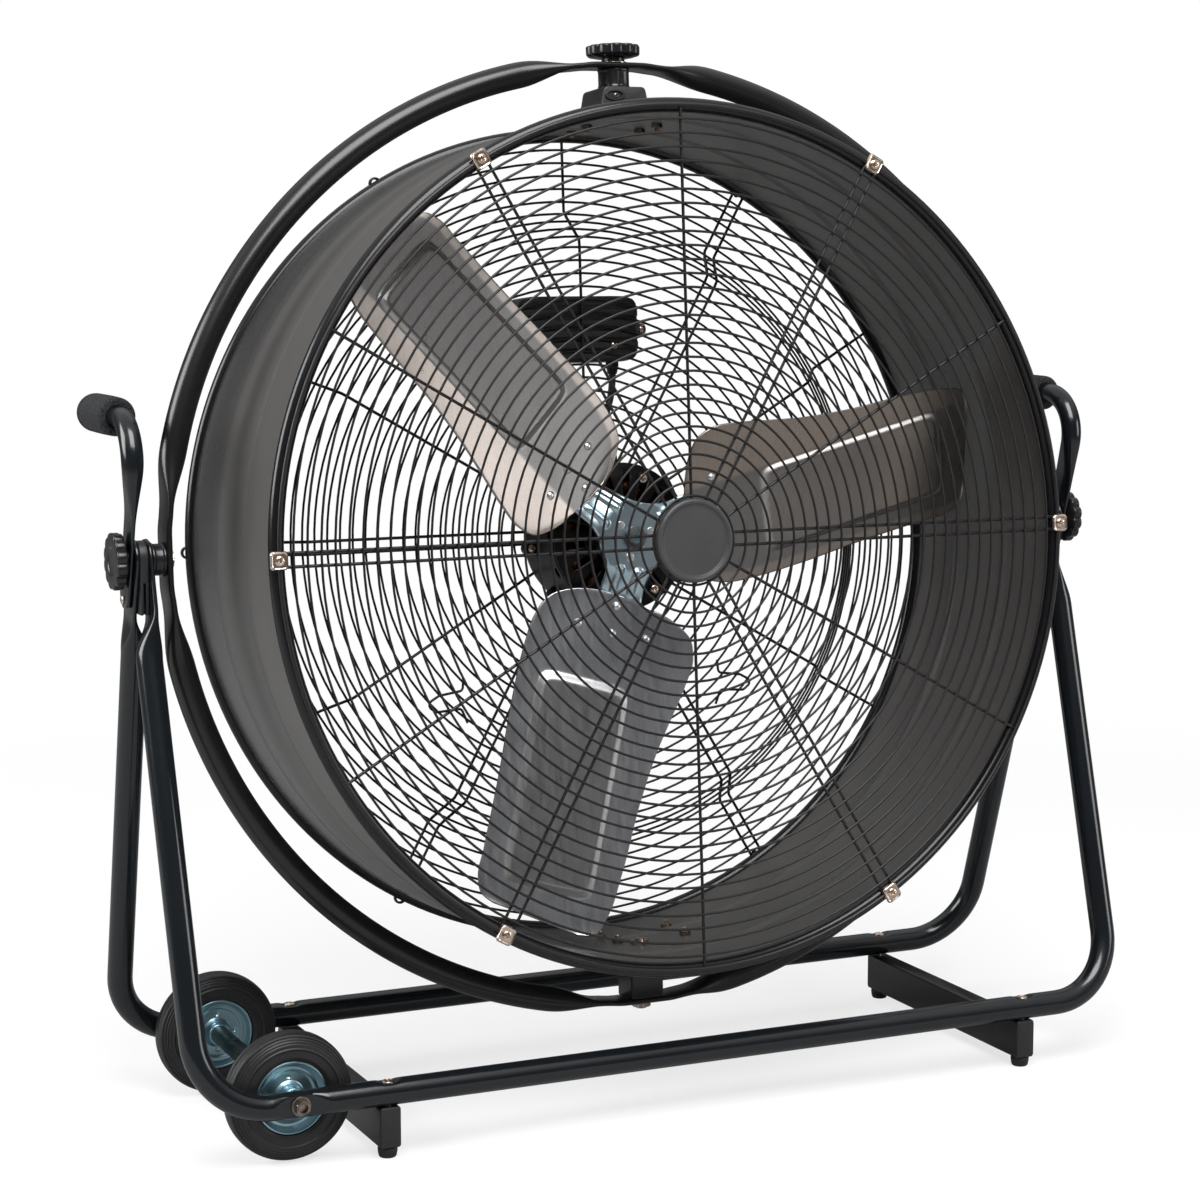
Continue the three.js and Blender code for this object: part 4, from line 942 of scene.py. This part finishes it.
# %% Rings and spokes
def guard_rings(radii, heights):
    """Circles of wire about the drum's axis."""
    made = []
    for radius, height in zip(radii, heights):
        turn = turns(int(48 + 0.22 * radius))
        path = np.stack([radius * np.cos(turn), 0 * turn + height, radius * np.sin(turn)], 1)
        thick = RIM_WIRE if radius > GUARD_RIM - 3 else WIRE
        made.append(sweep(path, (0, 1, 0), thick, thick, 8, loop=True))
    return made


def guard_spokes(height):
    """Six pairs of spokes and six single ones between them. A spoke's height follows its distance from the
    axis."""
    made = []
    along = np.linspace(CAP - 4, GUARD_RIM, 60)
    for turn in range(0, 360, 60):
        for degrees, beside in ((turn, -PAIR), (turn, PAIR), (turn + 30, 0)):
            path = np.stack([along, height(np.hypot(along, beside)), 0 * along + beside], 1)
            made.append(rotated(sweep(path, (0, 0, 1), SPOKE, SPOKE, 8), 1, -degrees))
    return made


def dish_height(radius):
    """The rear guard's wires: level at the rim, a straight slope, and level again near the motor."""
    return REAR_WIRE - DISH * np.clip((DISH_OUT - radius) / (DISH_OUT - DISH_IN), 0, 1)


front_rings = guard_rings(np.linspace(CAP + 2, GUARD_RIM, GUARD_RINGS), np.full(GUARD_RINGS, FRONT_WIRE))
front_spokes = guard_spokes(lambda r: FRONT_WIRE + BEHIND + 0 * r)
make("front_wire_guard", "drum", wire, *front_rings, *front_spokes, replaces=["front_guard"], sharp=60)

fine = np.linspace(CAP + 2, GUARD_RIM, 2000)
rear_places, _ = even(np.stack([fine, dish_height(fine), 0 * fine], 1), WIRE_STEP)
rear_rings = guard_rings(rear_places[:, 0], rear_places[:, 1])
rear_spokes = guard_spokes(lambda r: dish_height(r) - BEHIND)
make("rear_wire_guard", "drum", wire, *rear_rings, *rear_spokes, replaces=["rear_guard"], sharp=60)
print("guards with", len(front_rings), "and", len(rear_rings), "rings")

# %% [markdown]
# ## Guard cap, clips and lead hooks
# A round plastic cap closes the middle of the front guard. Six small nickel clips hold that guard to its
# bead, each a dished square with a cross-head screw. Behind, six black rings of wire take the screws, and two
# wire hooks keep the mains lead in place.

# %% Cap
low, high = drum_ends("guard_cap")
cap = eased([(0, low + 2.6), (31.8, low + 2.6), (33, low + 2.2), (34.2, low + 0.4), (36.2, low),
             (38.4, low + 1.2), (CAP, low + 4), (CAP, high - 1), (CAP - 1, high), (0, high)], 0.9, steps=6)
make("bare_guard_cap", "drum", matt, lathe(cap, 1, 96), replaces=["guard_cap"])


# %% Clips
def clip_plate(size=16.5, thick=2.2):
    """A square plate about Z: its height falls at the rim and rises in a low ridge just inside it."""
    t, angle = np.linspace(0, 1, 22)[:, None], turns(64)
    square = np.minimum(1 / np.maximum(np.abs(np.cos(angle)), np.abs(np.sin(angle))), 1.24)
    height = thick + 0.5 * bump((t - 0.84) / 0.1) - thick * ease((t - 0.93) / 0.07)
    return on_foot(polar(size / 2 * square * t, angle, height))


def on_rim(patch, degrees, radius, height, way):
    """A patch about Z, laid to face the front (-1) or the rear (1) and put at a place round the rim."""
    return rotated(moved(rotated(patch, 0, -90 * way), (radius, height, 0)), 1, -degrees)


CLIP_FRONT = FRONT_WIRE - WIRE - 0.2
for index in range(6):
    parts = [clip_plate(), moved(cross_head(4.4, 2.6), (0, 0, 2.0))]
    clip = [on_rim(part, 60 * index, DRUM_R, CLIP_FRONT, -1) for part in parts]
    make(f"nickel_clip_{index + 1}", "drum", nickel, *clip, replaces=[f"guard_clip_{index + 1}"])

turn = turns(40)
wire_ring = np.stack([DRUM_R + 4.2 + 5 * np.cos(turn), 0 * turn + DRUM_HIGH - 6, 5 * np.sin(turn)], 1)
wire_ring = sweep(wire_ring, (0, 1, 0), 2.4, 1.2, 12, loop=True)
rear_clips = [part for degrees in range(0, 360, 60)
              for part in (rotated(wire_ring, 1, -degrees),
                           on_rim(cross_head(3.4, 2), degrees, DRUM_R - 3, REAR_WIRE + 2, 1))]
make("rear_guard_clips", "drum", wire, *rear_clips)


# %% Lead hooks
def hook(side):
    """A hairpin of wire with its two ends kinked apart, drawn for the right."""
    points = [(139, -133), (140, -146), (165, -149.5), (179, -157.5), (168, -165.5), (142, -163.5),
              (136, -178)]
    route = [(side * x, dish_height(150.0) - 3.4, z) for x, z in points]
    path, _ = even(bent(route, [4, 4, 4.5, 4.5, 4]), 1.5)
    return sweep(path, (0, 1, 0), 1.3, 1.3, 8)


make("lead_hooks", "drum", wire, hook(-1), hook(1), sharp=60)

# %% [markdown]
# ## Brackets between drum and ring
# On top a moulded bracket with two wings is bolted to the drum. A fluted spacer stands on it, the ring's
# strip lies on that, and the swivel knob clamps them. Below there is only a block and a bolt. Inside the
# drum the brackets' screws end in dark nuts with a brass-coloured tip.

# %% Top bracket
FOOT_R = DRUM_R + 0.3
BRACKET_Y, BRACKET_TOP = drum_span("top_bracket")[1][1:]
RECESS_Z = FOOT_R + 21
SKIN_IN = DRUM_R - SHEET
STRIP_OUT = RING_H + RING_STRIP


def bracket_outline():
    """Wings, shoulders and a top, over an arc that follows the drum."""
    x = np.linspace(-35, 35, 15)
    under = np.stack([x, np.sqrt((FOOT_R + 0.6) ** 2 - x**2)], 1)
    half = [(35, FOOT_R), (35, FOOT_R + 5.5), (25, FOOT_R + 12), (21.5, BRACKET_TOP)]
    upper = eased(half + [(-x, z) for x, z in reversed(half)], 4)
    return np.vstack([under, upper[1:-1]])


def oval_cup(side):
    """An oval cup that stands on one face: its floor is the face itself, and its rim is 1.8 mm higher."""
    turn = turns(64)
    share = np.array([0, 0.4, 0.66, 0.74, 0.8, 0.92, 1.0, 1.0])[:, None]
    height = np.array([0.1, 0.1, 0.1, 1.2, 1.8, 1.8, 1.2, -0.5])[:, None] + 0 * turn
    points = np.dstack([10.4 * share * np.cos(turn), side * height, 5.0 * share * np.sin(turn)])
    return moved(grid(points, around=True), (11 * side, side * BRACKET_Y, RECESS_Z))


block = plate(bracket_outline(), -BRACKET_Y, BRACKET_Y, 2.2, 1)
make("winged_bracket", "drum", plastic, block, oval_cup(-1), oval_cup(1), replaces=["top_bracket"])
screws = [moved(rotated(cross_head(2.4, 1.2), 0, -90 * side), (9.5 * side, side * BRACKET_Y, RECESS_Z))
          for side in (-1, 1)]
make("bracket_screws", "drum", bronze_steel, *screws)


# %% Spacer, bolts through the drum, and the swivel knob
def fluted_spacer():
    """A bush whose radius ripples round it between two plain ends."""
    low, high = drum_ends("top_spacer", 2)
    rows = closed_profile(bush_profile(low, high, 5.4, 15.3, 14.8, 3), 0.7)
    angle = turns(144)
    radius, height = rows[:, :1], rows[:, 1:]
    middle = bump((height - (low + high) / 2) / ((high - low) * 0.75))
    radius = radius - 0.8 * np.abs(np.sin(9 * angle)) * middle * (radius > 10)
    return grid(polar(radius, angle, height), around=True)


make("fluted_spacer", "drum", polished, fluted_spacer(), replaces=["top_spacer"])
make("swivel_bolt", "drum", nickel, rod(5, SKIN_IN - 1, STRIP_OUT + 8, 2),
     washer(13.5, 5.4, STRIP_OUT + 0.1, STRIP_OUT + 1.3), replaces=["top_bolt"])
clamp = moved(knob(4.7), (0, 0, drum_ends("knob_top", 2)[0]))
make("swivel_clamp_knob", "swivel_knob", polished, clamp, replaces=["knob_top"])

block = plate(rectangle(34, 34, 3), *drum_ends("bottom_bracket", 2), 1.2, 2)
make("lower_block", "drum", satin, block, replaces=["bottom_bracket"])
bolt = [moved(hex_nut(16, 4.2, 0.01), (0, 0, -STRIP_OUT - 5.4)),
        washer(11.5, 5.2, -STRIP_OUT - 1.3, -STRIP_OUT - 0.1),
        moved(hex_nut(16, 4, 0.01), (0, 0, 0.3 - SKIN_IN)), rod(4.6, -STRIP_OUT - 7, 6 - SKIN_IN, 2)]
make("lower_bolt", "drum", nickel, *bolt, replaces=["bottom_bolt"])

# %% Nuts inside the drum
TOP_NUTS = [(-23, 50), (-22, 17), (39, 28), (38, -13)]
BOTTOM_NUTS = [(-22, 43), (-16, 16), (52, 47), (51, 3)]


def inside_drum(patch):
    """A patch set at each nut's place on the drum's inside, pointing to the axis."""
    return [moved(rotated(patch, 0, flip), (x, y, way * np.sqrt(SKIN_IN**2 - x**2)))
            for places, flip, way in ((TOP_NUTS, 180, 1), (BOTTOM_NUTS, 0, -1)) for x, y in places]


make("inner_nuts", "drum", bronze_steel, *inside_drum(hex_nut(9.4, 4, 0.01)))
make("inner_bolt_tips", "drum", brass, *inside_drum(rod(2.4, 0, 8, 2, 20, 0.7)))
print("brackets, bolts and", len(TOP_NUTS + BOTTOM_NUTS), "inner nuts")

# %% [markdown]
# ## The motor
# An external fan motor: a black can with slots near its front, a front bell with a ring of openings, copper
# windings that show through both, and a shaft. A slotted wall is a grid with some faces left out, and
# Solidify gives the sheet its thickness, which is quicker and cleaner than cutting holes.

# %% Motor can and bell
MOTOR_R, SHELL = 72.0, 2.0
CAN_LOW, CAN_HIGH = drum_ends("motor_can")
BELL_LOW = drum_ends("motor_bell")[0]
MOTOR_MIDDLE = (CAN_LOW + CAN_HIGH) / 2


def slotted(profile, slot_rows, period, sides=144):
    """A turned sheet with slots: faces are left out in some rows, in three columns of each period."""
    radius, height = np.hsplit(np.asarray(profile, float), 2)
    row, column = np.arange(len(profile) - 1)[:, None], np.arange(sides)
    holes = np.isin(row, slot_rows) & (column % period < 3)
    return grid(polar(radius, turns(sides), height, 1), around=True, keep=~holes)


wall = [(MOTOR_R - SHELL / 2, y) for y in np.linspace(CAN_LOW, CAN_HIGH - 6, 25)]
back = [(MOTOR_R - 3, CAN_HIGH - 2), *[(radius, CAN_HIGH - 1) for radius in (MOTOR_R - 8, 40, 0)]]
make("motor_can_shell", "drum", motor_black, slotted(wall + back, [2, 3], 12), replaces=["motor_can"],
     wall=SHELL, sharp=40)
face = [(7.5, 4), (12, 0.5), (14, 1), (17, 3.6), (24, 4), (30, 4), (38, 4), (46, 4.2), (55, 4.6), (61, 6),
        (68, 9)]
bell = [(radius, BELL_LOW + rise) for radius, rise in face]
bell += [(MOTOR_R - 1, CAN_LOW - 1.4), (MOTOR_R - 1, CAN_LOW - 0.4)]
make("vented_motor_bell", "drum", motor_black, slotted(bell, [6, 7, 8], 8), replaces=["motor_bell"],
     wall=SHELL, sharp=40)

# %% Motor screws, two on the bell and two on lugs beside the can
SCREWS = [(69, 60, BELL_LOW + 3), (-60, 60, BELL_LOW + 3), (-173, 76, 58), (-132, 76, 58)]
lugs = [rotated(moved(rod(6.4, y, y + 14, 1, 32, 1), (reach, 0, 0)), 1, -turn) for turn, reach, y in SCREWS]
heads = [on_rim(cross_head(4.6, 3), turn, reach, y, -1) for turn, reach, y in SCREWS]
make("motor_lugs", "drum", motor_black, *lugs)
make("motor_screws", "drum", nickel, *heads)


# %% Windings, core and shaft
def winding(middle, way):
    """A fat ring of wire with twenty-four bundles: the radius of its section swells with the angle."""
    turn, section = turns(240), turns(20)[:, None]
    thick = 9.0 + 1.3 * np.cos(24 * turn) + 0.5 * np.cos(section * 9)
    points = polar(51 + 1.15 * thick * np.cos(section), turn, middle + way * thick * np.sin(section), 1)
    return grid(np.vstack([points, points[:1]]), around=True)


make("copper_windings", "drum", copper, winding(MOTOR_MIDDLE - 22, 1), winding(MOTOR_MIDDLE + 22, -1),
     replaces=["stator"], sharp=70)
make("motor_core", "drum", lamination, washer(68, 40, MOTOR_MIDDLE - 15, MOTOR_MIDDLE + 15, 1, 96, 0.5))
nut_front = drum_ends("motor_shaft")[0]
shaft = eased([(0, nut_front + 0.6), (5.4, nut_front + 0.6), (6, nut_front + 1.4), (6, MOTOR_MIDDLE - 20),
               (30, MOTOR_MIDDLE - 20), (30, MOTOR_MIDDLE + 20), (6, MOTOR_MIDDLE + 20), (6, CAN_HIGH - 4),
               (0, CAN_HIGH - 4)], 0.5)
make("rotor_shaft", "rotor", zinc, lathe(shaft, 1, 40), replaces=["motor_shaft"])
shaft_nut = moved(rotated(hex_nut(15.4, 5, 5.6), 0, -90), (0, nut_front, 0))
make("rotor_nut_and_washer", "rotor", lamination, shaft_nut, washer(11, 6, nut_front + 1.7, nut_front + 4, 1))

# %% [markdown]
# ## Spider and blades
# Three pressed aluminium blades are riveted to a zinc plated steel spider. A blade is a sheet between a
# low and a high edge, so its grid runs from one edge curve to the other, and a raised panel is added where
# the point lies inside four lines. Solidify gives the sheet its two millimetres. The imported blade's root is
# cut straight. In the photograph it bulges towards the hub under the rivets, so the edges start there.

# %% Sizes of the rotor, with a blade's outline as shares of its length and width
BLADE_ROOT, BLADE_TIP, BLADE_W = 92.0, DRUM_R - SHEET - 23.4, 183.0
PITCH, BLADE_TURN, AXIS_Y, SHEET_AL = np.radians(15), 1.7, -5.0, 2.0
LOW_EDGE = [(-0.128, 0.1), (-0.115, -0.04), (-0.08, -0.17), (-0.03, -0.26), (0.06, -0.293), (0.16, -0.278),
            (0.349, -0.219), (0.598, -0.12), (0.847, -0.033), (0.94, 0.0), (0.985, 0.05), (0.998, 0.13)]
HIGH_EDGE = [(-0.13, 0.3), (-0.122, 0.42), (-0.095, 0.52), (-0.04, 0.573), (0.06, 0.592), (0.18, 0.594),
             (0.295, 0.596), (0.491, 0.625), (0.74, 0.689), (0.88, 0.709), (0.955, 0.69), (0.982, 0.6)]
PANEL = [(0.21, -0.155), (0.92, 0.115), (0.86, 0.6), (0.15, 0.335)]
PANEL_RISE, EDGE_CURL = 4.0, 1.4
RIVETS = [(-0.09, 0.085), (0.018, -0.066), (0.001, 0.121), (-0.03, 0.298)]


# %% Place flat sheet work on the rotor
def on_blade(shares):
    """Shares of a blade's length and width, as distances from the axis and beside the blade's base line."""
    return np.asarray(shares, float) * (BLADE_TIP - BLADE_ROOT, BLADE_W) + (BLADE_ROOT, 0)


def pitched(patch, index, pitch=PITCH):
    """A patch drawn flat, with X along the base line, Y beside it and Z to the front, set on the rotor."""
    along, beside, up = patch[0].T
    y = AXIS_Y - np.sin(pitch) * beside - np.cos(pitch) * up
    z = np.cos(pitch) * beside - np.sin(pitch) * up
    return rotated((np.stack([along, y, z], 1), patch[1]), 1, -(BLADE_TURN + 120 * index))


def curve_through(points, count):
    """A smooth line through points: cubic pieces whose slope at a point is that between its neighbours."""
    points = np.asarray(points, float)
    at = np.r_[0, np.cumsum(np.linalg.norm(np.diff(points, axis=0), axis=1))]
    slope = np.gradient(points, at, axis=0)
    x = np.linspace(0, at[-1], count)
    i = np.clip(np.searchsorted(at, x) - 1, 0, len(at) - 2)
    step = (at[i + 1] - at[i])[:, None]
    t = (x - at[i])[:, None] / step
    return ((2 * t**3 - 3 * t**2 + 1) * points[i] + (t**3 - 2 * t**2 + t) * step * slope[i]
            + (3 * t**2 - 2 * t**3) * points[i + 1] + (t**3 - t**2) * step * slope[i + 1])


# %% Blades
def inside_panel(flat, soft):
    """How far inside four lines a point lies, as 0 to 1. A smooth least rounds the corners."""
    corners = on_blade(PANEL)
    ahead = np.roll(corners, -1, 0) - corners
    normal = unit(np.stack([-ahead[:, 1], ahead[:, 0]], 1))
    distance = ((flat[..., None, :] - corners) * normal).sum(-1)
    return ease(-5 * np.log(np.exp(-np.clip(distance, -60, 300) / 5).sum(-1)) / soft)


def blade_sheet(painted_reflection_stripe=None, rows=170, columns=100):
    """The grid between the two edges: the panel rises, and both long edges curl a little forwards.
    The painted warmer reflection lies beyond the panel's high side, in a narrow strip at the low edge, and on
    one blade in a stripe across the panel at a share of its length. The panel is painted darker, a painted
    reflection, and the pressed slopes are painted bright, a painted highlight."""
    low, high = curve_through(on_blade(LOW_EDGE), rows), curve_through(on_blade(HIGH_EDGE), rows)
    share = np.linspace(0, 1, columns)
    flat = low[:, None] * (1 - share[:, None]) + high[:, None] * share[:, None]
    panel = inside_panel(flat, 7.0)
    up = SHEET_AL / 2 + PANEL_RISE * panel + EDGE_CURL * (np.abs(share - 0.5) * 2) ** 4
    out = (flat[..., 0] - BLADE_ROOT) / (BLADE_TIP - BLADE_ROOT)
    (far_x, far_y), (near_x, near_y) = PANEL[2:]
    crease = near_y + (out - near_x) * (far_y - near_y) / (far_x - near_x)
    # Painted reflections: a warmer tone beyond the crease, at the low edge and in one blade's stripe, and a
    # darker panel. The pressed slopes get a painted highlight.
    flange = ease((flat[..., 1] / BLADE_W - crease) / 0.03 + 0.6) * (1 - 0.8 * ease((out - 0.84) / 0.14))
    warm_painted_reflection = np.maximum(flange, 0.8 * (1 - ease((share - 0.05) / 0.03)))
    painted_reflection_glow = bump((out - painted_reflection_stripe) / 0.22) if painted_reflection_stripe else 0 * out
    shades = {"panel": 0.85 * panel * (1 - painted_reflection_glow), "warm_painted_reflection": np.maximum(warm_painted_reflection, painted_reflection_glow * panel),
              "pressed": 2.4 * panel * (1 - panel)}
    return np.dstack([flat, up]), shades


# The first blade gets a stripe of painted reflection across its panel.
for index, painted_reflection_stripe in enumerate((0.72, None, None)):
    sheet, shades = blade_sheet(painted_reflection_stripe)
    make(f"pressed_blade_{index + 1}", "rotor", blade_painted_reflections[index], pitched(grid(sheet), index),
         replaces=[f"blade_{index + 1}"], wall=SHEET_AL, sharp=60, tones=shades)

rivet = lathe(eased([(0, 2.8), (1.8, 2.6), (3.4, 1.6), (4.3, 0.4), (4.3, -4), (0, -4)], 0.5), 2, 32)
heads = [pitched(moved(rivet, (*on_blade(at), SHEET_AL)), index) for index in range(3) for at in RIVETS]
make("blade_rivets", "rotor", rivet_steel, *heads)
print("three blades with", len(heads), "rivets")

# %% Spider
ARM_TURN = np.radians(16)
PLATE_EDGE, ARM_HALF, ARM_SHEET = 17.3, 20.5, 2.4


def spider_arm(rows=120, columns=64):
    """A third of the spider. Up to PLATE_EDGE its sides are the lines at 60 degrees that it shares with the
    other two arms, so their half width is along times tan 60. Then each curves into the arm's own side.
    The arm steps back to the blade, where it takes up the pitch, and carries two raised ribs."""
    along, side = np.linspace(4, 126, rows)[:, None], np.linspace(-1, 1, columns)
    fillet = 9 * np.maximum(1 - (along - PLATE_EDGE) / 31, 0) ** 2
    half = np.minimum(np.sqrt(3) * along, ARM_HALF + fillet) - 7 * ease((along - 106) / 20)
    out = along * np.cos(ARM_TURN) - side * half * np.sin(ARM_TURN)
    beside = along * np.sin(ARM_TURN) + side * half * np.cos(ARM_TURN)
    ribs = sum(bump((side - at) / 0.22) ** 0.7 for at in (-0.42, 0.42))
    fade = ease((along - 27) / 6) * (1 - ease((along - 52) / 8))
    folded = 1.8 * np.abs(side) ** 14 * ease((along - 24) / 12)
    up = -1.4 + 2.6 * ribs * fade - folded + 12.6 * (1 - ease((along - 30) / 28))
    pitch = PITCH * ease((along + 0 * side - 28) / 28)
    return grid(np.dstack([out, beside, up])), pitch.ravel()


arm, pitch = spider_arm()
arms = [pitched(arm, index, pitch) for index in range(3)]
make("spider_arms", "rotor", spider_zinc, *arms, wall=ARM_SHEET, sharp=60)

boss = [(6.2, -14.8), (17, -14.8), (20, -13.8), (24, -11.4), (31, -10.8), (34, -8.8), (34, 1), (6.2, 1)]
boss = eased(boss, 1.2)
boss = lathe(np.vstack([boss, boss[:1]]), 1, 96)
make("spider_boss", "rotor", spider_zinc, boss, replaces=["hub_spider"], sharp=50)
flat_rivet = lathe(eased([(0, 1.0), (3.9, 0.9), (4.5, 0.2), (4.5, -2), (0, -2)], 0.3), 2, 28)
small = [moved(rotated(flat_rivet, 0, 90), (x, -17.4, z)) for x, z in ((-15, 12), (-6, -19), (17, 5))]
make("hub_rivets", "rotor", rivet_steel, *small)
print("a spider with", len(arms), "arms")

# %% [markdown]
# ## Control box
# The switch sits in a moulded box behind the rear guard. Its front is ribbed: seen through the guard it is
# a stack of level grooves. A level section is carried up the box, and a groove is only a section that
# starts further back. The gland and the motor's lead leave from it, and a dial turns on its back.

# %% Box
BOX_LOW, BOX_HIGH = drum_span("control_box")
BOX_CORNER = 14
print("the box is", np.round(BOX_HIGH - BOX_LOW), "mm")


def box_shell():
    """Rounded sections up the box: narrower near its top and bottom. The front bulges in six ribs, which
    meet in grooves where |cos(6 pi height)| peaks."""
    width, depth = (BOX_HIGH - BOX_LOW)[:2] / 2
    bottom, top = BOX_LOW[2], BOX_HIGH[2]
    z = np.linspace(bottom, top, 100)[:, None]
    from_end = np.minimum(z - bottom, top - z)
    half = width - BOX_CORNER * (1 - np.sqrt(1 - (1 - np.clip(from_end / BOX_CORNER, 0, 1)) ** 2))
    groove = np.abs(np.cos(6 * np.pi * (z - bottom) / (top - bottom))) ** 8
    squeeze = 1 - 0.04 * (1 - ease(from_end / 3))
    across, back = rectangle(2, 2, 0.3).T
    x = half * squeeze * across
    y = BOX_LOW[1] + depth + depth * squeeze * back + 1.8 * groove * (back < 0)
    points = np.dstack([x, y, z + 0 * x])
    middle = points.mean(1, keepdims=True)
    return grid(np.vstack([middle[:1] + 0 * points[:1], points, middle[-1:] + 0 * points[-1:]]), around=True)


make("ribbed_switch_box", "drum", plastic, box_shell(), replaces=["control_box"], sharp=40)
heads = [moved(rotated(cross_head(4, 2.2), 0, 90), (36.8, BOX_LOW[1] + 0.6, 187.7))]
heads += [moved(rotated(cross_head(3.4, 1.8), 0, -90), (x, BOX_HIGH[1] - 0.3, z))
          for x in (-54, 54) for z in (184, 225)]
make("box_screws", "drum", nickel, *heads)

# %% Gland
(start, *low), (end, *high) = drum_span("cable_gland")
nut = moved(along_x(hex_nut(17, 6, 4.6)), (start, 0, 0))
dome = closed_profile([(4.6, start + 6), (7.6, start + 6), (8, end - 4), (5.8, end), (4.6, end)], 0.8)
gland = [moved(part, (0, *np.mean([low, high], 0))) for part in (nut, lathe(dome, 0))]
make("lead_gland", "drum", nickel, *gland, replaces=["cable_gland"])

# %% Dial with its scale
(_, front, bottom), (_, back, top) = drum_span("speed_dial")
at_dial = (0, 0, (bottom + top) / 2)
base = eased([(0, front), (19, front), (19, front + 3), (17.4, front + 4), (16.4, back - 10.6),
              (15, back - 9.8), (0, back - 9.8)], 0.8)
bar = plate(rectangle(8, 31, 3.4), back - 11, back, 1.4, 1)
make("speed_dial_knob", "dial", plastic, moved(lathe(base, 1, 72), at_dial), moved(bar, at_dial),
     replaces=["speed_dial"])
mark = moved(plate(rectangle(1.6, 4.6, 0.6), BOX_HIGH[1] - 0.4, BOX_HIGH[1] + 0.5, 0.2, 1), (0, 0, 23.5))
marks = [moved(rotated(mark, 1, turn), at_dial) for turn in (0, 45, 90, 135)]
make("dial_marks", "drum", nickel, *marks)

# %% [markdown]
# ## The motor's lead
# A short rubber lead runs from the box to the motor. It is held at both ends and passes between the guard's
# wires, so it isn't a free cord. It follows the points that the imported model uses, through a smooth line.

# %% Lead
LEAD = 3.5
x, y, z = 44.0, (BOX_LOW[1] + BOX_HIGH[1]) / 2, BOX_LOW[2]
wires = BOX_LOW[1] - 0.3
route = [(x, y, z + 2), (x, y, z - 14), (x - 3, y - 1, z - 34), (x - 9, y - 3, 121.5),
         (x - 15, y - 8, 105.5), (x - 19, wires + 8, 95.5), (x - 20, wires, 90.5), (x - 20, wires - 9, 87.5),
         (x - 20, wires - 15, 81.5), (x - 20, wires - 18, 73.5), (x - 20, wires - 18, 67)]
path = curve_through(route, 90)
collar = lathe(eased([(LEAD, 0), (6.5, 0), (6.5, -4), (4.6, -12), (LEAD, -12.5)], 0.8), 2, 32)
make("motor_lead_cable", "drum", rubber, sweep(path, (1, 0, 0), LEAD, LEAD, 20), moved(collar, (x, y, z)),
     replaces=["motor_lead"])
print("the lead is", round(float(np.linalg.norm(np.diff(path, axis=0), axis=1).sum())), "mm long")

# %% [markdown]
# ## Studio
# The photograph was taken against white with soft light from the left and above. A pale floor and a world
# that is white for the camera give the same. For reflections the world is a dim room with a lit ceiling, and
# its plain light has a third of full strength, so that it doesn't wash out the black paint.

# %% Floor
paper = Finish("pale_paper", None, grey(0.93), 0.8)
seen = paper.node("ShaderNodeLightPath", output="Is Camera Ray")
reflected = paper.node("ShaderNodeLightPath", output="Is Glossy Ray")
white = paper.node("ShaderNodeEmission", {}, {"Color": (1, 1, 1, 1), "Strength": 1.0})
sheet = paper.mix(paper.noise(3, 2), grey(0.92), grey(0.94))
paper.set({"Base Color": paper.mix(reflected, sheet, grey(0.35))})
away = paper.node("ShaderNodeVectorMath", {"operation": "LENGTH"}, {0: paper.where()}, "Value")
share = seen * (0.7 + 0.3 * away.above(1.7, 0.7))
lit = Value(paper, paper.shader.outputs[0])
surface = paper.node("ShaderNodeMixShader", {}, {0: share, 1: lit, 2: white})
paper.connect(paper.nodes["Material Output"].inputs["Surface"], surface)

x, y = np.meshgrid(np.linspace(-8, 8, 9), np.linspace(-8, 8, 9))
points, faces = grid(np.dstack([x, y, 0 * x]))
mesh = bpy.data.meshes.new("studio_floor")
mesh.from_pydata(points.tolist(), [], faces.tolist())
floor = place("studio_floor", mesh, paper)

# %% World
world = bpy.data.worlds.new("white_studio")
bpy.context.scene.world = world
sky = Tree(world)
room = sky.node("ShaderNodeTexCoord", output="Generated")
depth, height = (sky.node("ShaderNodeSeparateXYZ", {}, {0: room}, axis) for axis in "YZ")
camera_ray = sky.node("ShaderNodeLightPath", output="Is Camera Ray")
glossy_ray = sky.node("ShaderNodeLightPath", output="Is Glossy Ray")
dim_room = 0.12 + 0.02 * depth.above(0.1, 0.4) + 0.7 * height.above(0.55, 0.25)
plain_light = 0.32 * (1 - glossy_ray)
strength = camera_ray.sum("MAXIMUM", dim_room * glossy_ray + plain_light, camera_ray)
background = sky.nodes["Background"]
sky.connect(background.inputs["Color"], (1, 1, 1, 1))
sky.connect(background.inputs["Strength"], strength)


# %% Lamps
def lamp(name, location, aim, size, watts):
    """A square area lamp at a place in metres, turned to face a point."""
    data = bpy.data.lights.new(name, "AREA")
    data.energy, data.size = watts, size
    made = place(name, data)
    made.location = location
    made.rotation_euler = (Vector(aim) - made.location).to_track_quat("-Z", "Y").to_euler()


lamp("key", (-3.4, 0.6, 1.9), (0, 0, 0.6), 2.0, 120)
lamp("top", (-0.3, -1.9, 3.2), (0, 0, 0.4), 2.2, 150)
lamp("fill", (3.2, -2.2, 1.2), (0, 0, 0.5), 1.4, 30)

# %% Camera
AZIMUTH, ELEVATION = np.radians(-24.597), np.radians(7.297)
view = bpy.data.cameras.new("camera")
view.lens, view.sensor_width = 82.85, 36
camera = place("camera", view)
camera.location = (-1.1271, -2.3990, 0.8112)
camera.rotation_euler = (np.pi / 2 - ELEVATION, 0, AZIMUTH)
bpy.context.scene.camera = camera
bpy.context.scene.view_settings.view_transform = "Standard"
